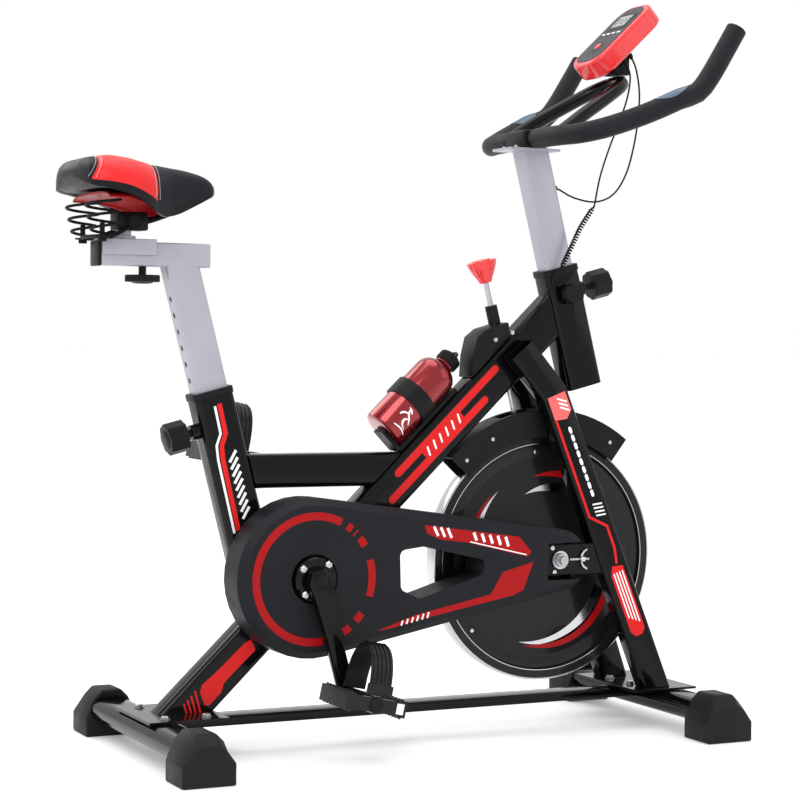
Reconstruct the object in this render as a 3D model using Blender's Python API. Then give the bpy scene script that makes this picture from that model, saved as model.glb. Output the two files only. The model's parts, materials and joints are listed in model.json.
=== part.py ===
"""Indoor spin bike, built as separate pieces on its joints.

Metres, +Z up. +X is the bike's front, -Y its right side, where the cranks are driven.
The origin is on the floor under the middle of the whole bike.
"""

import math

import bmesh
import bpy
from mathutils import Matrix, Vector

GAP = 0.0003  # between pieces that touch
MIDDLE_X = 0.00625  # the middle of the whole length, measured from the drawing's own zero

# Stance
REAR_FOOT_X = -0.365
FRONT_FOOT_X = 0.467
FOOT_HALF_SPAN = 0.240
FOOT_LENGTH = 0.068
FOOT_DEPTH = 0.078
FOOT_HEIGHT = 0.070
BEAM_WIDTH = 0.062
BEAM_HEIGHT = 0.034
BEAM_Z = 0.040
PLATE_THICKNESS = 0.004
PLATE_Z = BEAM_Z + BEAM_HEIGHT / 2 + GAP

# Frame tubes
TUBE_WIDTH = 0.040
TUBE_DEPTH = 0.060
TUBE_WALL = 0.002
MAIN_ANGLE = math.radians(43.9)
MAIN_POINT = Vector((0.0, 0.0, 0.367))
SLEEVE_WIDTH = 0.042
POST_LEAN = math.radians(14.5)
SEAT_TUBE_TOP = Vector((-0.277, 0.0, 0.514))
HEAD_TUBE_TOP = Vector((0.2945, 0.0, 0.703))
HEAD_TUBE_LENGTH = 0.180
TOP_TUBE_Z = 0.406
TOP_TUBE_DEPTH = 0.050
BASE_BAR_Z = 0.0465
BASE_BAR_HEIGHT = 0.015

# Fork
LEG_DEPTH = 0.046
LEG_WIDTH = 0.030
LEG_TOP = Vector((0.209, 0.0, 0.585))
LEG_KNEE = Vector((0.265, 0.0, 0.520))
LEG_FOOT_X = 0.441
LEG_TOP_Y = TUBE_WIDTH / 2 + LEG_WIDTH / 2 + GAP
LEG_FOOT_Y = 0.063

# Wheel and drive
CRANK_AXIS = Vector((-0.147, 0.0, 0.254))
WHEEL_AXIS = Vector((0.271, 0.0, 0.265))
WHEEL_RADIUS = 0.191
WHEEL_HALF_WIDTH = 0.0125
CRANK_PULLEY_RADIUS = 0.090
WHEEL_PULLEY_RADIUS = 0.027
BELT_THICKNESS = 0.003
BELT_Y = -0.039
CRANK_LENGTH = 0.170
CRANK_ANGLE = math.radians(-76.0)

# Cover
COVER_REAR_RADIUS = 0.116
COVER_NOSE_RADIUS = 0.047
COVER_NOSE = Vector((0.264, 0.0, 0.266))
COVER_INNER_Y = -0.0233
COVER_OUTER_Y = -0.085
COVER_WALL = 0.003

# Seat
SEAT_POST_DEPTH = 0.050
POST_WIDTH = 0.034
RAIL_Z = 0.716
RAIL_X = (-0.447, -0.285)
RAIL_HEIGHT = 0.034
SADDLE_PIN_X = -0.409
RAIL_KNOB_X = -0.381

# Handlebar
BAR_POST_DEPTH = 0.048
BAR_X = 0.237
BAR_RADIUS = 0.0125
GRIP_RADIUS = 0.0155
BAR_HALF_WIDTH = 0.226

UP_LEAN = Vector((-math.sin(POST_LEAN), 0.0, math.cos(POST_LEAN)))
MAIN_DIR = Vector((math.cos(MAIN_ANGLE), 0.0, math.sin(MAIN_ANGLE)))
X = Vector((1.0, 0.0, 0.0))
Y = Vector((0.0, 1.0, 0.0))
Z = Vector((0.0, 0.0, 1.0))


def clear_scene():
    for obj in list(bpy.data.objects):
        bpy.data.objects.remove(obj, do_unlink=True)


def material(name, color, roughness, metallic=0.0):
    found = bpy.data.materials.get(name)
    if found:
        return found
    made = bpy.data.materials.new(name)
    made.use_nodes = True
    shader = made.node_tree.nodes["Principled BSDF"]
    shader.inputs["Base Color"].default_value = (*color, 1.0)
    shader.inputs["Roughness"].default_value = roughness
    shader.inputs["Metallic"].default_value = metallic
    return made


BLACK_PAINT = ("black_paint", (0.012, 0.012, 0.014), 0.22)
BLACK_PLASTIC = ("black_plastic", (0.030, 0.030, 0.034), 0.48)
GREY_PLASTIC = ("grey_plastic", (0.060, 0.060, 0.065), 0.55)
SILVER_PAINT = ("silver_paint", (0.55, 0.56, 0.62), 0.35)
CAST_IRON = ("cast_iron", (0.020, 0.020, 0.022), 0.40, 0.5)
STEEL = ("steel", (0.62, 0.62, 0.64), 0.28, 1.0)
RED_PLASTIC = ("red_plastic", (0.80, 0.06, 0.05), 0.30)
RED_METAL = ("red_metal", (0.45, 0.01, 0.02), 0.25, 0.8)
RUBBER = ("rubber", (0.018, 0.018, 0.018), 0.75)
FOAM = ("foam", (0.035, 0.035, 0.038), 0.85)
VINYL = ("vinyl", (0.55, 0.05, 0.05), 0.45)
FELT = ("felt", (0.20, 0.18, 0.15), 0.95)


def new_object(name, bm, look, smooth_angle=35.0):
    """An object of the given mesh, with its faces turned outwards and its round faces shaded smooth."""
    bmesh.ops.remove_doubles(bm, verts=bm.verts, dist=1e-6)
    bmesh.ops.recalc_face_normals(bm, faces=bm.faces)
    mesh = bpy.data.meshes.new(name)
    bm.to_mesh(mesh)
    bm.free()
    mesh.shade_smooth()
    mesh.set_sharp_from_angle(angle=math.radians(smooth_angle))
    mesh.materials.append(material(*look))
    obj = bpy.data.objects.new(name, mesh)
    bpy.context.scene.collection.objects.link(obj)
    return obj


def bevel(obj, width, segments=2):
    made = obj.modifiers.new("Bevel", "BEVEL")
    made.width = width
    made.segments = segments
    made.limit_method = "ANGLE"
    made.angle_limit = math.radians(40.0)
    return obj


def hide_cutter(obj):
    obj.hide_render = True
    obj.display_type = "WIRE"
    return obj


def boolean(obj, other, operation="DIFFERENCE"):
    made = obj.modifiers.new(operation.title(), "BOOLEAN")
    made.operation = operation
    made.solver = "EXACT"
    made.object = hide_cutter(other)
    return obj


def frame_of(axis, side=Y):
    """Two directions across an axis: the second runs along side as far as it can."""
    axis = axis.normalized()
    if abs(axis.dot(side)) > 0.99:
        side = X
    across = (side - axis * axis.dot(side)).normalized()
    return across.cross(axis).normalized(), across


def rounded_rectangle(depth, width, corner, segments=3):
    """Points round a rectangle with round corners, centred on the origin."""
    points = []
    corner = min(corner, depth / 2 - 1e-5, width / 2 - 1e-5)
    for quarter, (sx, sy) in enumerate(((1, 1), (-1, 1), (-1, -1), (1, -1))):
        centre = (sx * (depth / 2 - corner), sy * (width / 2 - corner))
        for step in range(segments + 1):
            angle = math.radians(90.0) * (quarter + step / segments)
            points.append(
                (centre[0] + corner * math.cos(angle), centre[1] + corner * math.sin(angle))
            )
    return points


def circle(radius, count=24):
    return [
        (radius * math.cos(math.tau * i / count), radius * math.sin(math.tau * i / count))
        for i in range(count)
    ]


def loop_on(bm, outline, centre, axis, cut=None, side=Y):
    """One ring of vertices: an outline across the axis, slid along it onto the cut plane through centre."""
    first, second = frame_of(axis, side)
    axis = axis.normalized()
    cut = (cut or axis).normalized()
    ring = []
    for a, b in outline:
        point = first * a + second * b
        point -= axis * (point.dot(cut) / axis.dot(cut))
        ring.append(bm.verts.new(centre + point))
    return ring


def bridge(bm, ring_a, ring_b):
    count = len(ring_a)
    for i in range(count):
        j = (i + 1) % count
        bm.faces.new((ring_a[i], ring_a[j], ring_b[j], ring_b[i]))


def prism(name, outline, start, end, look, cuts=(None, None), side=Y):
    """A solid bar of the outline from start to end, with its ends on the cut planes."""
    bm = bmesh.new()
    axis = end - start
    low = loop_on(bm, outline, start, axis, cuts[0], side)
    high = loop_on(bm, outline, end, axis, cuts[1], side)
    bridge(bm, low, high)
    bm.faces.new(low)
    bm.faces.new(high)
    return new_object(name, bm, look)


def hollow(name, outer, inner, start, end, look, cuts=(None, None), side=Y):
    """A tube with both ends open: the outer and the inner outline have as many points."""
    bm = bmesh.new()
    axis = end - start
    rings = [
        loop_on(bm, outline, centre, axis, cut, side)
        for outline in (outer, inner)
        for centre, cut in zip((start, end), cuts)
    ]
    bridge(bm, rings[0], rings[1])
    bridge(bm, rings[2], rings[3])
    bridge(bm, rings[0], rings[2])
    bridge(bm, rings[1], rings[3])
    return new_object(name, bm, look)


def box_tube(name, start, end, depth, width, look, cuts=(None, None), wall=TUBE_WALL, corner=0.008):
    outer = rounded_rectangle(depth, width, corner)
    inner = rounded_rectangle(depth - 2 * wall, width - 2 * wall, max(corner - wall, 0.001))
    return hollow(name, outer, inner, start, end, look, cuts)


def bar(name, start, end, radius, look, count=24):
    return prism(name, circle(radius, count), start, end, look)


def ring_bar(name, start, end, radius, bore, look, count=24):
    return hollow(name, circle(radius, count), circle(bore, count), start, end, look)


def block(name, centre, size, look, turn=0.0, width=0.0, segments=2):
    """A box turned about Y, with beveled edges where a width is given."""
    bm = bmesh.new()
    bmesh.ops.create_cube(bm, size=1.0)
    spread = Matrix.Diagonal((*size, 1.0))
    place = Matrix.Translation(centre) @ Matrix.Rotation(turn, 4, "Y")
    bmesh.ops.transform(bm, matrix=place @ spread, verts=bm.verts)
    obj = new_object(name, bm, look)
    return bevel(obj, width, segments) if width else obj


def turned(name, profile, centre, axis, look, count=48):
    """A turned solid: the profile is (radius, distance along axis), and starts and ends on the axis or is closed."""
    bm = bmesh.new()
    first, second = frame_of(axis, Y if abs(axis.normalized().dot(Y)) < 0.9 else X)
    axis = axis.normalized()
    rings = []
    for radius, along in profile:
        if radius < 1e-7:
            rings.append([bm.verts.new(centre + axis * along)])
            continue
        ring = []
        for i in range(count):
            angle = math.tau * i / count
            spoke = first * math.cos(angle) + second * math.sin(angle)
            ring.append(bm.verts.new(centre + axis * along + spoke * radius))
        rings.append(ring)
    closed = len(rings[0]) > 1
    pairs = list(zip(rings, rings[1:])) + ([(rings[-1], rings[0])] if closed else [])
    for low, high in pairs:
        for i in range(count):
            j = (i + 1) % count
            corners = [low[i % len(low)], low[j % len(low)], high[j % len(high)], high[i % len(high)]]
            face = list(dict.fromkeys(corners))
            if len(face) > 2:
                bm.faces.new(face)
    return new_object(name, bm, look)


def smooth_path(points, spacing):
    """Points about spacing apart on a Catmull-Rom curve through the given ones."""
    route = [Vector(p) for p in points]
    route = [route[0] * 2 - route[1]] + route + [route[-1] * 2 - route[-2]]
    path = []
    for p0, p1, p2, p3 in zip(route, route[1:], route[2:], route[3:]):
        steps = max(1, round((p2 - p1).length / spacing))
        for i in range(steps):
            t = i / steps
            path.append(
                0.5 * (2 * p1 + (p2 - p0) * t + (2 * p0 - 5 * p1 + 4 * p2 - p3) * t**2
                       + (3 * p1 - p0 - 3 * p2 + p3) * t**3)
            )
    return path + [route[-2]]


def curve_tube(name, path, radius, look, resolution=2):
    """A round tube with closed ends along the points of a path."""
    data = bpy.data.curves.new(name, "CURVE")
    data.dimensions = "3D"
    data.bevel_depth = radius
    data.bevel_resolution = resolution
    data.use_fill_caps = True
    spline = data.splines.new("POLY")
    spline.points.add(len(path) - 1)
    for point, place in zip(spline.points, path):
        point.co = (*place, 1.0)
    data.materials.append(material(*look))
    obj = bpy.data.objects.new(name, data)
    bpy.context.scene.collection.objects.link(obj)
    return obj


def swept(name, path, radii, look, count=12):
    """A solid round bar along a path, as a mesh, with its own radius at each point."""
    bm = bmesh.new()
    rings = []
    side = Y
    for i, point in enumerate(path):
        ahead = path[min(i + 1, len(path) - 1)] - path[max(i - 1, 0)]
        first, second = frame_of(ahead, side)
        side = second
        ring = [
            bm.verts.new(point + (first * a + second * b))
            for a, b in circle(radii[i], count)
        ]
        rings.append(ring)
    for low, high in zip(rings, rings[1:]):
        bridge(bm, low, high)
    bm.faces.new(rings[0])
    bm.faces.new(rings[-1])
    return new_object(name, bm, look)


def main_axis_at(x):
    return MAIN_POINT + MAIN_DIR * (x / MAIN_DIR.x)


def seat_axis_at(z):
    return SEAT_TUBE_TOP + UP_LEAN * ((z - SEAT_TUBE_TOP.z) / UP_LEAN.z)


def head_axis_at(z):
    return HEAD_TUBE_TOP + UP_LEAN * ((z - HEAD_TUBE_TOP.z) / UP_LEAN.z)


def main_axis_at_height(z):
    return MAIN_POINT + MAIN_DIR * ((z - MAIN_POINT.z) / MAIN_DIR.z)


def make_main_tube():
    """The long diagonal tube, from the rear plate up to the head tube, with the crank shell through it."""
    start = main_axis_at_height(PLATE_Z + PLATE_THICKNESS)
    lean_normal = Vector((math.cos(POST_LEAN), 0.0, math.sin(POST_LEAN)))
    reach = (HEAD_TUBE_TOP - MAIN_POINT).dot(lean_normal) - TUBE_DEPTH / 2 - GAP
    end = MAIN_POINT + MAIN_DIR * (reach / MAIN_DIR.dot(lean_normal))
    tube = box_tube("main_tube", start, end, TUBE_DEPTH, TUBE_WIDTH, BLACK_PAINT, (Z, lean_normal))
    plate = block(
        "rear_plate_shape",
        Vector((REAR_FOOT_X + 0.033, 0.0, PLATE_Z + PLATE_THICKNESS / 2 + GAP)),
        (0.120, 0.150, PLATE_THICKNESS),
        BLACK_PAINT,
    )
    shell = bar(
        "crank_shell_shape",
        CRANK_AXIS - Y * 0.034,
        CRANK_AXIS + Y * 0.034,
        0.0215,
        BLACK_PAINT,
    )
    bore = bar("crank_bore", CRANK_AXIS - Y * 0.05, CRANK_AXIS + Y * 0.05, 0.0175, BLACK_PAINT)
    rod_hole = bar("rod_hole", rod_point(0.440), rod_point(0.640), 0.009, BLACK_PAINT, 16)
    boolean(tube, plate, "UNION")
    boolean(tube, shell, "UNION")
    boolean(tube, bore)
    return boolean(tube, rod_hole)


def make_seat_tube():
    """The seat post's outer tube, standing on the main tube."""
    normal = Vector((-MAIN_DIR.z, 0.0, MAIN_DIR.x))
    offset = (MAIN_POINT - SEAT_TUBE_TOP).dot(normal) + TUBE_DEPTH / 2 + GAP
    start = SEAT_TUBE_TOP + UP_LEAN * (offset / UP_LEAN.dot(normal))
    return box_tube(
        "seat_tube", start, SEAT_TUBE_TOP, TUBE_DEPTH, SLEEVE_WIDTH, BLACK_PAINT, (normal, None)
    )


def make_top_tube():
    """The short level tube between the seat tube and the main tube."""
    lean_normal = Vector((math.cos(POST_LEAN), 0.0, math.sin(POST_LEAN)))
    start = seat_axis_at(TOP_TUBE_Z) + X * ((TUBE_DEPTH / 2 + GAP) / math.cos(POST_LEAN))
    normal = Vector((-MAIN_DIR.z, 0.0, MAIN_DIR.x))
    end = main_axis_at_height(TOP_TUBE_Z) - X * ((TUBE_DEPTH / 2 + GAP) / MAIN_DIR.z)
    return box_tube(
        "top_tube", start, end, TOP_TUBE_DEPTH, TUBE_WIDTH - 0.002, BLACK_PAINT, (lean_normal, normal)
    )


def make_head_tube():
    start = HEAD_TUBE_TOP - UP_LEAN * HEAD_TUBE_LENGTH
    return box_tube("head_tube", start, HEAD_TUBE_TOP, TUBE_DEPTH, SLEEVE_WIDTH, BLACK_PAINT)


def make_collar(name, top, post_depth):
    """The plastic sleeve at a tube's mouth that guides the post."""
    outer = rounded_rectangle(TUBE_DEPTH + 0.003, SLEEVE_WIDTH + 0.003, 0.009)
    bore = rounded_rectangle(post_depth + 2 * GAP, POST_WIDTH + 2 * GAP, 0.0065)
    start = top + UP_LEAN * GAP
    return hollow(name, outer, bore, start, start + UP_LEAN * 0.010, BLACK_PLASTIC)


def leg_line():
    foot = Vector((LEG_FOOT_X, 0.0, PLATE_Z + PLATE_THICKNESS + GAP))
    return LEG_TOP, LEG_KNEE, foot


def make_fork_leg(name, side):
    """A bent leg of the fork, splayed outwards, with the plate that holds its end of the wheel's axle."""
    top, knee, foot = leg_line()
    drop = (LEG_FOOT_Y - LEG_TOP_Y) / (top.z - foot.z)
    points = [Vector((p.x, side * (LEG_TOP_Y + drop * (top.z - p.z)), p.z)) for p in (top, knee, foot)]
    top_cut = Vector((points[1].x - points[0].x, 0.0, points[1].z - points[0].z))
    bend_cut = (points[1] - points[0]).normalized() + (points[2] - points[1]).normalized()
    bm = bmesh.new()
    cuts = (top_cut, bend_cut, bend_cut, Z)
    ends = (points[0], points[1], points[1], points[2])
    axes = (points[1] - points[0], points[1] - points[0], points[2] - points[1], points[2] - points[1])
    outer = rounded_rectangle(LEG_DEPTH, LEG_WIDTH, 0.006)
    inner = rounded_rectangle(LEG_DEPTH - 2 * TUBE_WALL, LEG_WIDTH - 2 * TUBE_WALL, 0.004)
    rings = [
        [loop_on(bm, outline, end, axis, cut, Y) for end, axis, cut in zip(ends, axes, cuts)]
        for outline in (outer, inner)
    ]
    for ring in rings:
        for a, b in zip(ring[1], ring[2]):
            b.co = (a.co + b.co) / 2
            a.co = b.co
        bridge(bm, ring[0], ring[1])
        bridge(bm, ring[2], ring[3])
    bridge(bm, rings[0][0], rings[1][0])
    bridge(bm, rings[0][3], rings[1][3])
    leg = new_object(name, bm, BLACK_PAINT)
    plate_y = side * 0.0585
    bracket = block(
        name + "_axle_plate",
        Vector((WHEEL_AXIS.x + 0.030, plate_y, WHEEL_AXIS.z)),
        (0.102, 0.006, 0.046),
        BLACK_PAINT,
    )
    slot = block(
        name + "_axle_slot",
        Vector((WHEEL_AXIS.x + 0.004, plate_y, WHEEL_AXIS.z)),
        (0.024, 0.02, 0.0142),
        BLACK_PAINT,
    )
    boolean(leg, bracket, "UNION")
    return boolean(leg, slot)


def make_front_plate():
    return block(
        "front_mount_plate",
        Vector((FRONT_FOOT_X - 0.018, 0.0, PLATE_Z + PLATE_THICKNESS / 2)),
        (0.110, 2 * LEG_FOOT_Y + 0.056, PLATE_THICKNESS - GAP),
        BLACK_PAINT,
    )


def make_beam(name, x):
    outline = rounded_rectangle(BEAM_WIDTH, BEAM_HEIGHT, 0.0165, 5)
    reach = FOOT_HALF_SPAN - 0.012
    start = Vector((x, -reach, BEAM_Z))
    end = Vector((x, reach, BEAM_Z))
    inner = rounded_rectangle(BEAM_WIDTH - 2 * TUBE_WALL, BEAM_HEIGHT - 2 * TUBE_WALL, 0.0145, 5)
    return hollow(name, outline, inner, start, end, BLACK_PAINT, side=Z)


def make_base_bar():
    start = Vector((REAR_FOOT_X + BEAM_WIDTH / 2 + GAP, 0.0, BASE_BAR_Z))
    end = Vector((FRONT_FOOT_X - BEAM_WIDTH / 2 - GAP, 0.0, BASE_BAR_Z))
    return box_tube("base_bar", start, end, BASE_BAR_HEIGHT, TUBE_WIDTH, BLACK_PAINT, corner=0.003)


def make_foot_cap(name, x, side):
    """A moulded end cap that the beam plugs into: upright below, chamfered towards its end and top."""
    half = FOOT_DEPTH / 2
    outline = [
        (-half, 0.0), (half, 0.0), (half, 0.030), (half - 0.012, 0.058), (half - 0.024, FOOT_HEIGHT),
        (-half + 0.024, FOOT_HEIGHT), (-half + 0.012, 0.058), (-half, 0.030),
    ]
    end_y = side * FOOT_HALF_SPAN
    inner_y = side * (FOOT_HALF_SPAN - FOOT_LENGTH)
    bm = bmesh.new()
    rings = []
    for y, shrink, drop in ((inner_y, 1.0, 0.0), (end_y - side * 0.020, 1.0, 0.0), (end_y, 0.94, 0.016)):
        ring = []
        for a, b in outline:
            height = b if b <= 0.030 else b - drop * (b - 0.030) / (FOOT_HEIGHT - 0.030)
            width = 1.0 if b <= 0.030 else shrink
            ring.append(bm.verts.new((x + a * width, y, height)))
        rings.append(ring)
    bridge(bm, rings[0], rings[1])
    bridge(bm, rings[1], rings[2])
    bm.faces.new(rings[0])
    bm.faces.new(rings[2])
    cap = new_object(name, bm, GREY_PLASTIC)
    bevel(cap, 0.003, 2)
    socket = prism(
        name + "_socket",
        rounded_rectangle(BEAM_WIDTH + 2 * GAP, BEAM_HEIGHT + 2 * GAP, 0.0167, 5),
        Vector((x, inner_y - side * 0.01, BEAM_Z)),
        Vector((x, side * (FOOT_HALF_SPAN - 0.0117), BEAM_Z)),
        GREY_PLASTIC,
        side=Z,
    )
    return boolean(cap, socket)


def cover_outline(shrink=0.0, count=20):
    """The drive cover's outline in XZ: a big arc round the crank, a small one round the axle, and tangents."""
    big = COVER_REAR_RADIUS - shrink
    small = COVER_NOSE_RADIUS - shrink
    line = COVER_NOSE - CRANK_AXIS
    distance = math.hypot(line.x, line.z)
    turn = math.atan2(line.z, line.x)
    spread = math.acos((big - small) / distance)
    points = []
    for i in range(count + 1):
        angle = turn + spread + (math.tau - 2 * spread) * i / count
        points.append((CRANK_AXIS.x + big * math.cos(angle), CRANK_AXIS.z + big * math.sin(angle)))
    nose_steps = count // 2
    for i in range(nose_steps + 1):
        angle = turn - spread + 2 * spread * i / nose_steps
        points.append((COVER_NOSE.x + small * math.cos(angle), COVER_NOSE.z + small * math.sin(angle)))
    return points


def plan_prism(name, layers, look):
    """A solid from outlines in XZ, each at its own Y."""
    bm = bmesh.new()
    rings = [[bm.verts.new((x, y, z)) for x, z in outline] for outline, y in layers]
    for low, high in zip(rings, rings[1:]):
        bridge(bm, low, high)
    bm.faces.new(rings[0])
    bm.faces.new(rings[-1])
    return new_object(name, bm, look)


def rounded_polygon(corners, radius, segments=4):
    """A polygon's outline with its corners rounded by arcs."""
    points = []
    count = len(corners)
    for i in range(count):
        here = Vector(corners[i])
        before = (Vector(corners[i - 1]) - here).normalized()
        after = (Vector(corners[(i + 1) % count]) - here).normalized()
        half = before.angle(after) / 2
        start = here + before * (radius / math.tan(half))
        end = here + after * (radius / math.tan(half))
        centre = here + (before + after).normalized() * (radius / math.sin(half))
        for step in range(segments + 1):
            mixed = start.lerp(end, step / segments) - centre
            points.append(tuple(centre + mixed.normalized() * radius))
    return points


WINDOW = ((-0.014, 0.292), (0.026, 0.298), (0.134, 0.272), (0.130, 0.250), (0.020, 0.216), (-0.012, 0.232))


def make_chain_cover_outer():
    """The outer half of the drive cover: a shell with a window, a hole for the crank and an open pocket at the axle."""
    y0, y2 = COVER_INNER_Y - COVER_WALL - GAP, COVER_OUTER_Y
    y1 = COVER_OUTER_Y + 0.010
    shell = plan_prism(
        "chain_cover_outer",
        ((cover_outline(), y0), (cover_outline(), y1), (cover_outline(0.010), y2)),
        BLACK_PLASTIC,
    )
    hollow_space = plan_prism(
        "cover_space",
        (
            (cover_outline(COVER_WALL), y0 + 0.01),
            (cover_outline(COVER_WALL), y1),
            (cover_outline(0.012), y2 + COVER_WALL),
        ),
        BLACK_PLASTIC,
    )
    window_wall = plan_prism(
        "window_wall",
        ((rounded_polygon(WINDOW, 0.010), y0 + 0.03), (rounded_polygon(WINDOW, 0.010), y2 - 0.01)),
        BLACK_PLASTIC,
    )
    window = plan_prism(
        "window_space",
        ((inset(rounded_polygon(WINDOW, 0.010), 0.003), y0 + 0.04),
         (inset(rounded_polygon(WINDOW, 0.010), 0.003), y2 - 0.02)),
        BLACK_PLASTIC,
    )
    crank_hole = bar("crank_hole", CRANK_AXIS - Y * 0.06, CRANK_AXIS - Y * 0.12, 0.036, BLACK_PLASTIC)
    pocket = block(
        "axle_pocket",
        Vector((WHEEL_AXIS.x + 0.022, -0.074, WHEEL_AXIS.z)),
        (0.110, 0.050, 0.0560),
        BLACK_PLASTIC,
    )
    boolean(hollow_space, window_wall)
    boolean(shell, hollow_space)
    boolean(shell, window)
    boolean(shell, crank_hole)
    return boolean(shell, pocket)


def inset(outline, amount):
    """The outline moved inwards a little, towards its middle."""
    middle = sum((Vector(p) for p in outline), Vector((0.0, 0.0))) / len(outline)
    return [tuple(Vector(p) + (middle - Vector(p)).normalized() * amount) for p in outline]


def make_chain_cover_inner():
    plate = plan_prism(
        "chain_cover_inner",
        ((cover_outline(), COVER_INNER_Y), (cover_outline(), COVER_INNER_Y - COVER_WALL)),
        BLACK_PLASTIC,
    )
    holes = (
        bar("shell_hole", CRANK_AXIS + Y * 0.01, CRANK_AXIS - Y * 0.06, 0.0225, BLACK_PLASTIC),
        bar("axle_hole", WHEEL_AXIS + Y * 0.01, WHEEL_AXIS - Y * 0.06, 0.020, BLACK_PLASTIC),
        plan_prism(
            "inner_window",
            ((rounded_polygon(WINDOW, 0.010), 0.0), (rounded_polygon(WINDOW, 0.010), -0.05)),
            BLACK_PLASTIC,
        ),
    )
    for hole in holes:
        boolean(plate, hole)
    return plate


def belt_outline(extra):
    """A loop round both pulleys, this far off their rims."""
    line = WHEEL_AXIS - CRANK_AXIS
    distance = math.hypot(line.x, line.z)
    turn = math.atan2(line.z, line.x)
    big = CRANK_PULLEY_RADIUS + extra
    small = WHEEL_PULLEY_RADIUS + extra
    spread = math.acos((big - small) / distance)
    points = []
    for centre, radius, first, sweep, count in (
        (CRANK_AXIS, big, spread, math.tau - 2 * spread, 40),
        (WHEEL_AXIS, small, -spread, 2 * spread, 16),
    ):
        for i in range(count + 1):
            angle = turn + first + sweep * i / count
            points.append((centre.x + radius * math.cos(angle), centre.z + radius * math.sin(angle)))
    return points


def make_drive_belt():
    bm = bmesh.new()
    half = 0.0065
    rings = [
        [bm.verts.new((x, BELT_Y + y, z)) for x, z in belt_outline(extra)]
        for extra, y in (
            (0.0008, -half), (0.0008 + BELT_THICKNESS, -half), (0.0008 + BELT_THICKNESS, half), (0.0008, half)
        )
    ]
    for low, high in zip(rings, rings[1:] + rings[:1]):
        bridge(bm, low, high)
    return new_object("drive_belt", bm, RUBBER)


def rod_point(z):
    """A point on the brake rod, which leans back like the posts."""
    base = Vector((0.189, 0.0, 0.617))
    return base + UP_LEAN * ((z - base.z) / UP_LEAN.z)


def make_flywheel():
    """The cast disc: a thick rim, a thin web and a hub."""
    rim, lip = WHEEL_HALF_WIDTH, 0.0015
    web = 0.0075
    half = [
        (WHEEL_RADIUS - lip, rim), (WHEEL_RADIUS - 0.014, rim), (WHEEL_RADIUS - 0.018, web),
        (0.040, web), (0.036, 0.0195), (0.0085, 0.0195),
    ]
    profile = [(r, -y) for r, y in reversed(half)] + [(WHEEL_RADIUS, -rim + lip),
        (WHEEL_RADIUS, rim - lip)] + half
    return turned("flywheel", profile, WHEEL_AXIS, Y, CAST_IRON, 64)


def pulley_profile(radius, low, high, hub, hub_low, hub_high, bore, web_low, web_high):
    return [
        (bore, hub_low), (hub, hub_low), (hub, web_low), (radius - 0.008, web_low), (radius - 0.008, low),
        (radius, low), (radius, high), (radius - 0.008, high), (radius - 0.008, web_high), (hub, web_high),
        (hub, hub_high), (bore, hub_high),
    ]


def make_crank_pulley():
    profile = pulley_profile(
        CRANK_PULLEY_RADIUS, BELT_Y - 0.008, BELT_Y + 0.0078, 0.022, -0.0745, -0.0355, 0.0093, -0.044, -0.040
    )
    return turned("crank_pulley", profile, Vector((CRANK_AXIS.x, 0.0, CRANK_AXIS.z)), Y, CAST_IRON, 48)


def make_wheel_pulley():
    profile = [
        (0.0085, -0.0475), (WHEEL_PULLEY_RADIUS, -0.0475), (WHEEL_PULLEY_RADIUS, BELT_Y + 0.0085),
        (0.017, BELT_Y + 0.0085), (0.017, -0.0198), (0.0085, -0.0198),
    ]
    return turned("flywheel_pulley", profile, Vector((WHEEL_AXIS.x, 0.0, WHEEL_AXIS.z)), Y, CAST_IRON, 32)


def make_wheel_axle():
    """The fixed axle with its end nuts, held in the slots of both axle plates."""
    axle = turned(
        "flywheel_axle",
        [(0.0, -0.078), (0.0065, -0.078), (0.0065, -0.072), (0.0105, -0.072), (0.0105, -0.0618),
         (0.0067, -0.0618), (0.0067, 0.0618), (0.0105, 0.0618), (0.0105, 0.072), (0.0065, 0.072),
         (0.0065, 0.078), (0.0, 0.078)],
        Vector((WHEEL_AXIS.x, 0.0, WHEEL_AXIS.z)), Y, STEEL, 24,
    )
    return axle


def make_spindle():
    return turned(
        "crank_spindle",
        [(0.0, -0.104), (0.0090, -0.104), (0.0090, 0.104), (0.0, 0.104)],
        Vector((CRANK_AXIS.x, 0.0, CRANK_AXIS.z)), Y, STEEL, 24,
    )


def crank_end(side):
    turn = CRANK_ANGLE if side < 0 else CRANK_ANGLE + math.pi
    return CRANK_AXIS + Vector((math.cos(turn), 0.0, math.sin(turn))) * CRANK_LENGTH


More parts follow.
